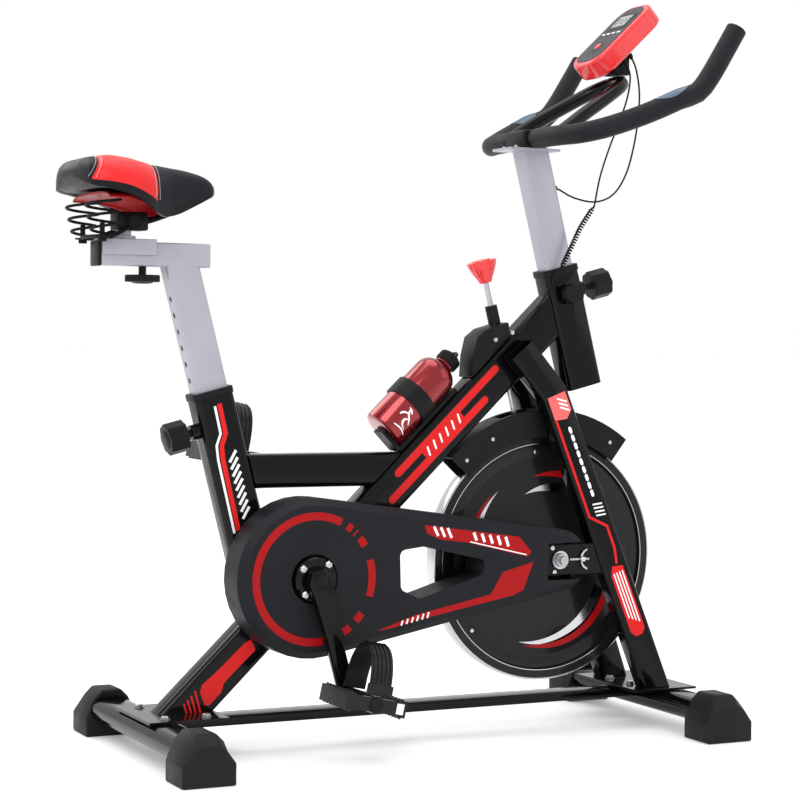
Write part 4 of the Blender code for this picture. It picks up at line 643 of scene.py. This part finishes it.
def add_cranks():
    dress("crank_spindle", "steel", 0.0004)
    dress("crank_pulley", "iron", 0.0004)
    for label in ("right", "left"):
        dress(f"crank_arm_{label}", "paint", 0.001)
        dress(f"pedal_{label}", "tread", 0.001)
        dress(f"toe_strap_{label}", "tread", 0.0005)
    bolt = [(0.0, 0.0), (0.0058, 0.0), (0.0058, 0.0014), (0.0044, 0.003), (0.002, 0.003),
            (0.0018, 0.0018), (0.0, 0.0018)]
    for number, (x, z) in enumerate(((-0.168, 0.27), (-0.129, 0.275), (-0.165, 0.233))):
        turned(f"disc_bolt_{number}", bolt, Vector((x, -0.0932, z)), -Y, "chrome", "crank", 6, smooth=20)
    cap = [(0.0, -0.008), (0.0085, -0.008), (0.0085, 0.0012), (0.006, 0.0026), (0.0, 0.0026)]
    for side, label in SIDES:
        end = CRANK + Y * (side * 0.1122)
        turned(f"crank_cap_{label}", cap, end, Y * side, "plastic", "crank", 28)
        add_pedal_trim(side, label)


def pedal_place(side):
    """The middle of the pedal's spindle, in the bike's middle plane."""
    turn = math.radians(-76.0) + (0.0 if side < 0 else math.pi)
    return CRANK + spin(X, Z, turn) * CRANK_LENGTH


def add_pedal_trim(side, label):
    """The pedal's studs, end cap and blank label, and its strap's ribs and buckle."""
    axis = pedal_place(side)
    place = Matrix.Translation(axis) @ Matrix.Rotation(PEDAL_TILT, 4, "Y")
    body = f"pedal_{label}"
    bm = bmesh.new()
    for x in (-0.04, 0.04):
        for i in range(9):
            for top in (-1, 1):
                spot = Matrix.Translation((x, side * (0.1235 + 0.0103 * i), top * 0.012))
                turn = Matrix.Rotation(0 if top > 0 else math.pi, 4, "X")
                stud = place @ spot @ turn @ Matrix.Translation((0, 0, 0.001))
                bmesh.ops.create_cone(bm, cap_ends=True, segments=10, radius1=0.003, radius2=0.0016,
                                      depth=0.0024, matrix=stud)
    shape(f"pedal_studs_{label}", bm, "tread", body)
    cap = [(0.0, 0.0), (0.0105, 0.0), (0.0105, 0.0018), (0.0085, 0.0034), (0.0, 0.0034)]
    turned(f"pedal_cap_{label}", cap, axis + Y * (side * 0.2096), Y * side, "plastic", body, 28)
    for number, x in enumerate((-0.013, -0.0065, 0.0, 0.0065, 0.013)):
        path = []
        for i in range(1, 24):
            angle = math.pi * i / 24
            y = side * PEDAL_MIDDLE + 0.042 * math.cos(angle)
            path.append(place @ Vector((0.002 + x, y, 0.0135 + 0.0695 * math.sin(angle) ** 0.8)))
        tube(f"strap_rib_{label}_{number}", path, 0.0012, "tread", body, 8)
    buckle = place @ Vector((0.002, side * (PEDAL_MIDDLE + 0.0415), 0.022))
    box(f"strap_buckle_{label}", buckle, (0.04, 0.003, 0.014), "tread", body, PEDAL_TILT, 0.0006)
    blank = place @ Vector((0.037, side * 0.2099, 0.0))
    box(f"pedal_label_{label}", blank, (0.011, 0.0006, 0.015), "white", body, PEDAL_TILT, 0.0)


def add_frame_fittings():
    """Bolts on the mounting plates, screws of the brake housing and the guard, and pads under the feet."""
    for name, lengths, half, z in (("rear", (-0.362, -0.3), 0.055, 0.0616),
                                   ("front", (0.42, 0.48), 0.03, 0.0614)):
        for number, (x, y) in enumerate([(x, y) for x in lengths for y in (-half, half)]):
            hex_bolt(f"{name}_plate_bolt_{number}", Vector((x, y, z)), Z, 0.0062, "steel", "frame")
    for side, label in SIDES:
        for number, (x, z) in enumerate(((0.176, 0.6), (0.205, 0.611))):
            spot = Vector((x, side * 0.0236, z))
            screw(f"housing_screw_{label}_{number}", spot, side, "frame", (0.0038, 0.003), (0.0016, 0.002))
        for number, degrees in enumerate((58, 80, 118, 133)):
            spot = WHEEL + spin(X, Z, math.radians(degrees)) * 0.208 + Y * (side * 0.0233)
            screw(f"guard_screw_{label}_{number}", spot, side, "frame", (0.0034, 0.0028), (0.0014, 0.0018))
    for number, (x, y) in enumerate([(x, y) for x in (-0.365, 0.467) for y in (-0.206, 0.206)]):
        size = (0.066, 0.056, 0.0016)
        box(f"foot_pad_{number}", Vector((x, y, 0.0009)), size, "rubber", "frame", edge=0.0005)


# Saddle post, knobs and saddle


def add_seat_fittings():
    dress("seat_post", "silver", 0.001)
    dress("seat_rail_plug", "plastic", 0.0006)
    dress("seat_carriage", "silver", 0.001)
    dress("saddle_clamp", "plastic", 0.001)
    add_saddle_frame()
    dress("saddle_base", "shell", 0.0008)
    for node in ("seat_rail_knob", "seat_height_knob", "head_knob_front", "head_knob_side"):
        dress(node, "plastic", 0.0012)
    centre = Vector((-0.401, 0.0, 0.762))
    for side, label in SIDES:
        hex_bolt(f"clamp_nut_{label}", centre + Y * (side * 0.0183), Y * side, 0.0105, "rubber", "saddle")
    knobs = (("seat_height_knob", leaned(SEAT_TOP, SEAT_KNOB_Z) - FRONT * 0.03, -FRONT, 0.05, 0.015),
             ("head_knob_front", leaned(HEAD_TOP, HEAD_KNOB_Z) + FRONT * 0.03, FRONT, 0.054, 0.015),
             ("seat_rail_knob", Vector((-0.381, 0, 0.699)), -Z, 0.022, 0.016))
    for body, base, axis, end, radius in knobs:
        cap = [(0.0, 0.0), (radius, 0.0), (radius * 0.86, 0.0016), (radius * 0.45, 0.0024), (0.0, 0.0026)]
        turned(body + "_cap", cap, base + axis * (end + 0.0001), axis, "plastic", body, 36)


def add_saddle_frame():
    """The saddle's two rails, the rear cross wire and the two coil springs with their nuts."""
    wire = ((-0.455, 0.044, 0.7385), (-0.44, 0.04, 0.7385), (-0.418, 0.024, 0.748),
            (-0.401, 0.016, 0.756), (-0.37, 0.015, 0.764), (-0.335, 0.014, 0.778),
            (-0.305, 0.01, 0.793))
    bolt = [(0.0, 0.0), (0.006, 0.0), (0.006, 0.005), (0.011, 0.0054), (0.011, 0.0075), (0.0036, 0.008),
            (0.0036, 0.026), (0.0, 0.026)]
    turns, per_turn = 3, 28
    for side, label in SIDES:
        route = spline([(x, side * y, z) for x, y, z in wire], 0.006)
        tube(f"saddle_rail_{label}", route, 0.003, "rubber", "saddle", 12)
        coil = []
        for i in range(turns * per_turn + 1):
            t = i / (turns * per_turn)
            foot = Vector((-0.455, side * 0.044, 0.74 + 0.05 * t))
            coil.append(foot + spin(X, Y, math.tau * turns * t) * (0.0125 + 0.0125 * t ** 0.7))
        tube(f"saddle_spring_{label}", coil, 0.0021, "rubber", "saddle", 10)
        end = Vector((-0.455, side * 0.044, 0.731))
        turned(f"spring_bolt_{label}", bolt, end, Z, "rubber", "saddle", 24)
    bent = ((-0.455, -0.044), (-0.462, -0.024), (-0.464, 0.0), (-0.462, 0.024), (-0.455, 0.044))
    cross = spline([(x, y, 0.7385) for x, y in bent], 0.006)
    tube("saddle_cross_wire", cross, 0.0028, "rubber", "saddle", 12, stands_for=("saddle_frame",))


SADDLE_STATIONS = (
    (-0.4935, 0.056, 0.836, 0.815), (-0.482, 0.084, 0.845, 0.806), (-0.458, 0.099, 0.85, 0.801),
    (-0.428, 0.1, 0.849, 0.794), (-0.4, 0.088, 0.846, 0.782), (-0.372, 0.064, 0.842, 0.768),
    (-0.346, 0.044, 0.839, 0.771), (-0.318, 0.035, 0.835, 0.783), (-0.294, 0.029, 0.828, 0.795),
    (-0.276, 0.017, 0.817, 0.803),
)


def saddle_row(x):
    """(half width, top, lower edge) of the saddle at a length, smoothly between the stations."""
    stations = SADDLE_STATIONS
    x = min(max(x, stations[0][0]), stations[-1][0])
    i = max(k for k in range(len(stations) - 1) if stations[k][0] <= x)
    a, b = stations[i], stations[i + 1]
    before, after = stations[max(i - 1, 0)], stations[min(i + 2, len(stations) - 1)]
    span = b[0] - a[0]
    t = (x - a[0]) / span
    values = []
    for k in (1, 2, 3):
        slope_a = (b[k] - before[k]) / (b[0] - before[0]) * span
        slope_b = (after[k] - a[k]) / (after[0] - a[0]) * span
        values.append((2 * t**3 - 3 * t**2 + 1) * a[k] + (t**3 - 2 * t**2 + t) * slope_a
                      + (3 * t**2 - 2 * t**3) * b[k] + (t**3 - t**2) * slope_b)
    return values


def saddle_point(x, turn, inset=0.0):
    """A point of the saddle's skin: turn runs from -1 at the right edge to 1 at the left edge."""
    half, top, edge = saddle_row(x)
    angle = turn * math.pi / 2
    y = half * math.copysign(abs(math.sin(angle)) ** CROWN, turn)
    rise = abs(math.cos(angle)) ** CROWN
    z = edge + (top - edge) * rise
    channel = max(0.0, 1 - ((x + 0.4) / 0.062) ** 2) * 0.0045
    z -= channel * math.exp(-(y / 0.011) ** 2)
    swell = math.exp(-((abs(y) - 0.05) / 0.022) ** 2) * max(0.0, 1 - ((x + 0.448) / 0.045) ** 2) * 0.0018
    z += swell * rise
    point = Vector((x, y, z))
    return point if not inset else point + Vector((0, -math.sin(angle), -rise)).normalized() * inset


def seam_rear(turn):
    """The length at which the rear seam crosses the saddle."""
    return -0.463 - 0.0215 * abs(turn) ** 1.5


def seam_front(turn):
    return -0.381 - 0.003 * abs(turn)


def seam_dip(x, turn):
    """How far the seams pull the skin in, narrow at the thread and wide around it."""
    dip = 0.0
    for seam in (seam_rear(turn), seam_front(turn)):
        away = x - seam
        dip += 0.0017 * math.exp(-(away / 0.0022) ** 2) + 0.0012 * math.exp(-(away / 0.0095) ** 2)
    return dip * (1 - 0.7 * max(0.0, (abs(turn) - 0.86) / 0.14))


def saddle_ring(x, columns, shrink):
    """One closed cross-section: the padded top from right to left, then the hollow underside."""
    half, _, edge = saddle_row(x)
    ring = []
    for j in range(columns + 1):
        turn = -1 + 2 * j / columns
        ring.append(saddle_point(x, turn, seam_dip(x, turn)))
    inner, roof = max(half - 0.0125, 0.004), max(0.8046, edge + 0.002)
    for j in range(columns + 1):
        angle = math.pi / 2 * (1 - 2 * j / columns)
        y = inner * math.copysign(abs(math.sin(angle)) ** CROWN, angle)
        ring.append(Vector((x, y, edge + 0.0002 + (roof - edge - 0.0002) * abs(math.cos(angle)) ** CROWN)))
    middle = Vector((x, 0.0, (edge + ring[columns // 2].z) / 2))
    return [middle + (point - middle) * shrink for point in ring]


def make_saddle():
    """The saddle's padded skin: three panels over an arched form, drawn in along the seams."""
    rows, columns = 150, 84
    bm = bmesh.new()
    start, end = SADDLE_STATIONS[0][0], SADDLE_STATIONS[-1][0]
    rings = []
    for i in range(rows + 1):
        t = i / rows
        x = start + (end - start) * (0.5 - 0.5 * math.cos(math.pi * t))
        near = min(x - start, end - x)
        roll = min(1.0, max(0.0, near) / 0.011)
        shrink = 0.3 + 0.7 * math.sqrt(max(0.0, 1 - (1 - roll) ** 2))
        rings.append((x, [bm.verts.new(point) for point in saddle_ring(x, columns, shrink)]))
    count = len(rings[0][1])
    for (x, low), (ahead, high) in zip(rings, rings[1:]):
        middle = (x + ahead) / 2
        for j in range(count):
            face = bm.faces.new((low[j], low[(j + 1) % count], high[(j + 1) % count], high[j]))
            if j > columns or min(j, columns - 1 - j) < 2:
                face.material_index = 3
            else:
                turn = -1 + 2 * (j + 0.5) / columns
                face.material_index = (middle >= seam_rear(turn)) + (middle >= seam_front(turn))
    bm.faces.new(rings[0][1])
    bm.faces.new(rings[-1][1][::-1])
    panels = ("dark_vinyl", "red_vinyl", "dark_vinyl", "plastic")
    skin = shape("saddle_skin", bm, panels, "saddle", ("saddle",), 60)


def add_stitching():
    """A row of stitches on each side of each seam."""
    bm = bmesh.new()
    for seam in (seam_rear, seam_front):
        for offset in (-0.0038, 0.0038):
            line = []
            for k in range(400):
                turn = -0.93 + 1.86 * k / 399
                line.append(saddle_point(seam(turn) + offset, turn))
            travelled, begin = 0.0, 0
            for k in range(1, len(line)):
                travelled += (line[k] - line[k - 1]).length
                if travelled >= 0.0034:
                    stitch(bm, line[begin], line[k])
                    travelled, begin = 0.0, k
    shape("saddle_stitches", bm, "thread", "saddle", smooth=60)


def stitch(bm, a, b):
    """One stitch: a small bead on the skin, shorter than its spacing."""
    along = (b - a) * 0.74
    middle = (a + b) / 2
    away = Vector((0.0, middle.y * 1.2, max(0.02, middle.z - 0.79))).normalized()
    size = Matrix.Diagonal((along.length, 0.0009, 0.0007, 1.0))
    side = away.cross(along).normalized()
    turn = Matrix((along.normalized(), side, along.normalized().cross(side))).transposed().to_4x4()
    place = Matrix.Translation(middle - away * 0.0005) @ turn @ size
    bmesh.ops.create_uvsphere(bm, u_segments=8, v_segments=6, radius=0.5, matrix=place)


# Handlebar, console, brake, bottle and leads

CONSOLE_CENTRE = Vector((0.398, 0.0, 1.068))
CONSOLE_TILT = math.radians(43.5)
CONSOLE_FACE = Vector((-math.sin(CONSOLE_TILT), 0.0, math.cos(CONSOLE_TILT)))
CONSOLE_UP = Vector((math.cos(CONSOLE_TILT), 0.0, math.sin(CONSOLE_TILT)))


def add_handlebar():
    dress("handlebar_post", "silver", 0.001)
    dress("handlebar_clamp", "plastic", 0.0012)
    dress("handlebar", "foam", 0, 50)
    dress("inner_loop", "paint", 0, 50)
    dress("console_bracket", "plastic", 0.0008)
    for number, (x, y) in enumerate(((0.212, -0.019), (0.212, 0.019), (0.262, -0.019), (0.262, 0.019))):
        spot = Vector((x, y, 0.9212)) if abs(x - 0.237) < 0.018 else Vector((x, y, 0.8938))
        hex_bolt(f"bar_clamp_bolt_{number}", spot, Z, 0.0046, "chrome", "handlebar")


def add_console():
    """The console's red shell, its face with the display and four marks, and its button's ring."""
    u, v = CONSOLE_UP, CONSOLE_FACE.cross(CONSOLE_UP)
    shell = slabs("console_body", [rounded(0.074, 0.044, 0.03, 16)], CONSOLE_CENTRE - CONSOLE_FACE * 0.016,
                  u, v, 0.032, "red", "handlebar", stands_for=("console_shell",), smooth=50)
    soften(shell, 0.0055, 4, 50)
    dress("console_button", "red", 0.0006)
    face = CONSOLE_CENTRE + CONSOLE_FACE * 0.01604
    digits = []
    for column, lit in enumerate((0x7E, 0x30, 0x6D, 0x79)):
        digits += seven_segment(0.031, 0.013 - 0.0088 * column, 0.007, 0.0048, lit)
    marks = [moved(rounded(0.0016, 0.0046, 0.001), 0.002, 0.022 - 0.0147 * i) for i in range(4)]
    for name, outlines, height, thick, mat in (
        ("trim", [rounded(0.0665, 0.0365, 0.0265)], 0.0, 0.0006, "grey"),
        ("window", [moved(rounded(0.019, 0.025, 0.004), 0.03)], 0.0006, 0.0006, "line"),
        ("display", [moved(rounded(0.013, 0.0195, 0.003), 0.031)], 0.0012, 0.0003, "lcd"),
        ("digits", digits, 0.00152, 0.0002, "segment"),
        ("marks", marks, 0.0006, 0.0003, "white"),
    ):
        slabs(f"console_{name}", outlines, face + CONSOLE_FACE * height, u, v, thick, mat, "handlebar")
    ring = [(0.009, 0.0), (0.0112, 0.0), (0.0112, 0.001), (0.009, 0.001)]
    turned("console_button_ring", ring, face - CONSOLE_UP * 0.03, CONSOLE_FACE, "grey", "handlebar", 36)


def seven_segment(u, v, tall, wide, lit):
    """Outlines of the lit bars of one digit; u runs up the display and v to its left."""
    bar = 0.0011
    level = rounded(bar / 2, wide / 2 - 0.0005, 0.0004, 2)
    upright = rounded(tall / 2 - 0.0007, bar / 2, 0.0004, 2)
    places = ((level, tall, 0.0, 64), (level, 0.0, 0.0, 1), (level, -tall, 0.0, 8),
              (upright, tall / 2, -wide / 2, 32), (upright, -tall / 2, -wide / 2, 16),
              (upright, -tall / 2, wide / 2, 4), (upright, tall / 2, wide / 2, 2))
    return [moved(outline, u + du, v + dv) for outline, du, dv, bit in places if lit & bit]


def add_brake():
    dress("brake_rod", "steel", 0.0002)
    dress("tension_knob", "red", 0.0012)
    dress("brake_shoe", "felt", 0.0008)
    profile = [(0.0, 0.0), (0.015, 0.0), (0.0142, 0.0014), (0.008, 0.0022), (0.0, 0.0024)]
    top = leaned(BRAKE_ROD, BRAKE_KNOB_Z) + UP_LEAN * 0.0341
    turned("tension_knob_cap", profile, top, UP_LEAN, "red", "tension_knob", 36)


def add_bottle():
    """The bottle: a smooth turned body, its screw cap with ribs and the carry loop."""
    profile = [(0.0, 0.001), (0.024, 0.0), (0.029, 0.0004), (0.0318, 0.0018), (0.033, 0.0048),
               (0.033, 0.116), (0.0324, 0.1215), (0.0302, 0.1275), (0.0262, 0.1328), (0.0205, 0.1368),
               (0.0165, 0.1392), (0.015, 0.1412), (0.015, 0.1436), (0.0, 0.1436)]
    turned("bottle_body", profile, BOTTLE_BASE, MAIN_DIR, "bottle", "water_bottle", 96,
           stands_for=("water_bottle",))
    cap = [(0.0, 0.1438), (0.0164, 0.1438), (0.0172, 0.1446), (0.0172, 0.1585), (0.016, 0.1602),
           (0.013, 0.161), (0.012, 0.1626), (0.0, 0.163)]
    turned("bottle_cap", cap, BOTTLE_BASE, MAIN_DIR, "plastic", "water_bottle", 64)
    bm = bmesh.new()
    first, second = across(MAIN_DIR)
    for i in range(36):
        out = spin(first, second, math.tau * i / 36)
        turn = Matrix((out, MAIN_DIR.cross(out), MAIN_DIR)).transposed().to_4x4()
        place = Matrix.Translation(BOTTLE_BASE + MAIN_DIR * 0.1515 + out * 0.0173) @ turn
        bmesh.ops.create_cube(bm, size=1.0, matrix=place @ Matrix.Diagonal((0.001, 0.0012, 0.012, 1)))
    shape("bottle_cap_ribs", bm, "plastic", "water_bottle")
    top = BOTTLE_BASE + MAIN_DIR * 0.16
    loop = []
    for i in range(25):
        angle = math.pi * i / 24
        loop.append(top + Y * (0.012 * math.cos(angle)) + MAIN_DIR * (0.0085 * math.sin(angle) ** 0.7))
    tube("bottle_loop", loop, 0.0022, "plastic", "water_bottle", 12)
    add_bottle_graphic()


def add_bottle_graphic():
    """A plain white figure printed round the bottle. Its strokes are (degrees round, height) points."""
    strokes = [
        [(-8, 0.094), (0, 0.1), (10, 0.102)], [(4, 0.101), (0, 0.09), (-12, 0.08), (-22, 0.07)],
        [(-2, 0.09), (12, 0.084), (18, 0.074)], [(-12, 0.08), (-2, 0.072), (-6, 0.06), (-20, 0.054)],
        [(-34, 0.046), (-12, 0.05), (12, 0.046)],
    ]
    per_degree, half_width, shrink = 0.576, 1.9, 0.00062  # mm round the bottle, mm, and metres for each mm
    bm = bmesh.new()
    for stroke in strokes:
        path = spline([(a, b * 1000, 0) for a, b in stroke], 2.0)
        left, right = [], []
        for i, (point, ahead) in enumerate(zip(path, courses(path))):
            flat = Vector((ahead.x * per_degree, ahead.y)).normalized()
            half = half_width * (0.45 + 0.55 * math.sin(math.pi * i / (len(path) - 1)))
            for line, sign in ((left, 1), (right, -1)):
                angle = math.radians(point.x - flat.y * sign * half / per_degree)
                along = 0.012 + (point.y + flat.x * sign * half - 46.0) * shrink
                out = spin(-Y, MAIN_NORMAL, angle) * PRINT_RADIUS
                line.append(bm.verts.new(BOTTLE_BASE + MAIN_DIR * along + out))
        for i in range(len(path) - 1):
            bm.faces.new((left[i], left[i + 1], right[i + 1], right[i]))
    shape("bottle_graphic", bm, "white", "water_bottle")


PULSE_ROUTE = (
    (0.41, -0.02, 1.048), (0.418, -0.026, 1.027), (0.422, -0.031, 0.99), (0.42, -0.032, 0.95),
    (0.414, -0.03, 0.905), (0.402, -0.027, 0.86), (0.382, -0.022, 0.828), (0.354, -0.014, 0.816),
    (0.32, -0.006, 0.822), (0.299, -0.001, 0.833), (0.29, 0.0, 0.8356),
)
SENSOR_ROUTE = (
    (0.398, -0.024, 1.037), (0.406, -0.029, 1.015), (0.4, -0.032, 0.98), (0.385, -0.033, 0.94),
    (0.368, -0.033, 0.9), (0.352, -0.033, 0.855), (0.342, -0.033, 0.809),
)
COIL_ROUTE = (
    (0.3417, -0.033, 0.808), (0.33, -0.033, 0.792), (0.317, -0.033, 0.773), (0.305, -0.033, 0.75),
    (0.293, -0.032, 0.726), (0.284, -0.0315, 0.709),
)


def path_length(path):
    return sum((b - a).length for a, b in zip(path, path[1:]))


def helix(path, radius, pitch, per_turn):
    """Points of a coil wound round a path, easing out of it and back into it over two turns."""
    total = path_length(path)
    turns = round(total / pitch)
    marks = [0.0]
    for a, b in zip(path, path[1:]):
        marks.append(marks[-1] + (b - a).length)
    points, side = [], None
    for step in range(turns * per_turn + 1):
        t = step / (turns * per_turn)
        distance = t * total
        i = min(max(k for k in range(len(marks)) if marks[k] <= distance + 1e-9), len(path) - 2)
        part = (distance - marks[i]) / (marks[i + 1] - marks[i])
        first, side = across(path[i + 1] - path[i], side)
        ease = min(1.0, step / per_turn / 2, (turns * per_turn - step) / per_turn / 2)
        angle = math.tau * step / per_turn
        points.append(path[i].lerp(path[i + 1], part) + spin(first, side, angle) * radius * ease)
    return points


def add_leads():
    """The console's two leads: one loops into the handlebar post, a curly one runs to the brake housing."""
    route = spline(PULSE_ROUTE, 0.008)
    pulse = tube("pulse_lead_cable", route, LEAD_RADIUS, "rubber", "handlebar", 14,
                 stands_for=("pulse_lead",), smooth=60)
    straight = spline(SENSOR_ROUTE, 0.006)
    coil = helix(spline(COIL_ROUTE, 0.002), 0.003, 0.0046, 16)
    line = straight + coil[1:]
    sensor = tube("sensor_lead_cable", line, LEAD_RADIUS, "rubber", None, 10,
                  stands_for=("sensor_lead", "sensor_lead_coil"), smooth=60)
    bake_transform(sensor)
    dress("sensor_lead_lower", "rubber", 0, 60)
    for name, end, ahead in (("pulse_boot", route[0], route[1]), ("sensor_boot", straight[0], straight[1])):
        turned(name, [(0.0015, 0.0), (0.004, 0.0), (0.0036, 0.005), (0.0022, 0.009), (0.0015, 0.009)],
               end - (ahead - end).normalized() * 0.0005, ahead - end, "rubber", "handlebar", 24)
    turned("pulse_grommet", [(0.0015, 0.0), (0.0046, 0.0), (0.004, 0.0026), (0.0015, 0.003)], route[-1],
           route[-2] - route[-1], "rubber", "handlebar", 24)


def bar_route():
    """The right half of the handlebar's centre line, from the clamp to the grip's end."""
    straight, sweep = 0.071, 0.155
    route = [(0.237, 0.0, 0.9073), (0.237, -straight * 0.6, 0.9073)]
    for degrees, height in ((10, 0.9073), (25, 0.908), (40, 0.914), (55, 0.926), (70, 0.942), (82, 0.957)):
        angle = math.radians(degrees)
        route.append((0.237 + sweep * (1 - math.cos(angle)), -straight - sweep * math.sin(angle), height))
    grip = ((0.4, 0.968), (0.42, 0.99), (0.444, 1.027), (0.468, 1.066))
    return route + [(x, -straight - sweep, z) for x, z in grip]


def add_grip_sensors():
    """The pulse sensor films: leaf-shaped patches over the tops of both grips, just before their bend."""
    route = spline(bar_route(), 0.002)
    inside = [point for point in route if 0.335 < point.x < 0.388]
    for side, label in SIDES:
        path = [Vector((p.x, -p.y * side, p.z)) for p in inside]
        bm = bmesh.new()
        rows = []
        for i, (point, ahead) in enumerate(zip(path, courses(path))):
            level = ahead.cross(Z).normalized()
            upright = level.cross(ahead.normalized())
            reach = math.radians(62.0) * math.sin(math.pi * (i + 0.4) / (len(path) - 0.2)) ** 0.7
            rows.append([bm.verts.new(point + spin(upright, level, reach * k / 6) * GRIP_SKIN)
                         for k in range(-6, 7)])
        for low, high in zip(rows, rows[1:]):
            for k in range(12):
                bm.faces.new((low[k], low[k + 1], high[k + 1], high[k]))
        shape(f"sensor_film_{label}", bm, "blue", "handlebar", smooth=60)


# Studio


def add_studio():
    bpy.context.scene.view_settings.view_transform = "Standard"
    bpy.context.scene.view_settings.look = "None"
    floor_mat = bpy.data.materials.new("pale_floor")
    floor_mat.use_nodes = True
    tree = floor_mat.node_tree
    shader = tree.nodes["Principled BSDF"]
    shader.inputs["Base Color"].default_value = (0.86, 0.86, 0.87, 1.0)
    shader.inputs["Roughness"].default_value = 0.62
    shader.inputs["Emission Color"].default_value = (1.0, 1.0, 1.0, 1.0)
    shader.inputs["Emission Strength"].default_value = 0.18
    bm = bmesh.new()
    bmesh.ops.create_circle(bm, cap_ends=True, segments=96, radius=60.0)
    mesh = bpy.data.meshes.new("floor")
    bm.to_mesh(mesh)
    bm.free()
    floor = bpy.data.objects.new("floor", mesh)
    floor.data.materials.append(floor_mat)
    bpy.context.scene.collection.objects.link(floor)
    world = bpy.data.worlds.new("studio")
    world.use_nodes = True
    world.node_tree.nodes["Background"].inputs["Color"].default_value = (1.0, 1.0, 1.0, 1.0)
    world.node_tree.nodes["Background"].inputs["Strength"].default_value = 1.0
    bpy.context.scene.world = world
    lamps = (
        ("key", (-2.6, -2.4, 3.2), (0.0, 0.0, 0.6), 2.2, 2.2, 70),
        ("fill", (2.8, -2.6, 2.0), (0.1, 0.0, 0.6), 2.0, 2.6, 14),
        ("top", (0.2, 0.2, 3.6), (0.0, 0.0, 0.0), 2.6, 2.6, 45),
        ("rim", (-1.2, 2.0, 2.4), (0.0, 0.0, 0.8), 1.6, 1.6, 25),
    )
    for name, place, target, wide, tall, power in lamps:
        data = bpy.data.lights.new(name, "AREA")
        data.shape = "RECTANGLE"
        data.size = wide
        data.size_y = tall
        data.energy = power
        lamp = bpy.data.objects.new(name, data)
        lamp.location = place
        lamp.rotation_euler = (Vector(target) - Vector(place)).to_track_quat("-Z", "Y").to_euler()
        bpy.context.scene.collection.objects.link(lamp)


def main():
    add_camera()
    add_leads()
    dress_frame()
    add_main_stickers()
    add_seat_stickers()
    add_leg_stickers()
    add_cover_stickers()
    add_flywheel()
    add_axle_fittings()
    add_cranks()
    add_frame_fittings()
    add_seat_fittings()
    make_saddle()
    add_stitching()
    add_handlebar()
    add_grip_sensors()
    add_console()
    add_brake()
    add_bottle()
    add_studio()


main()
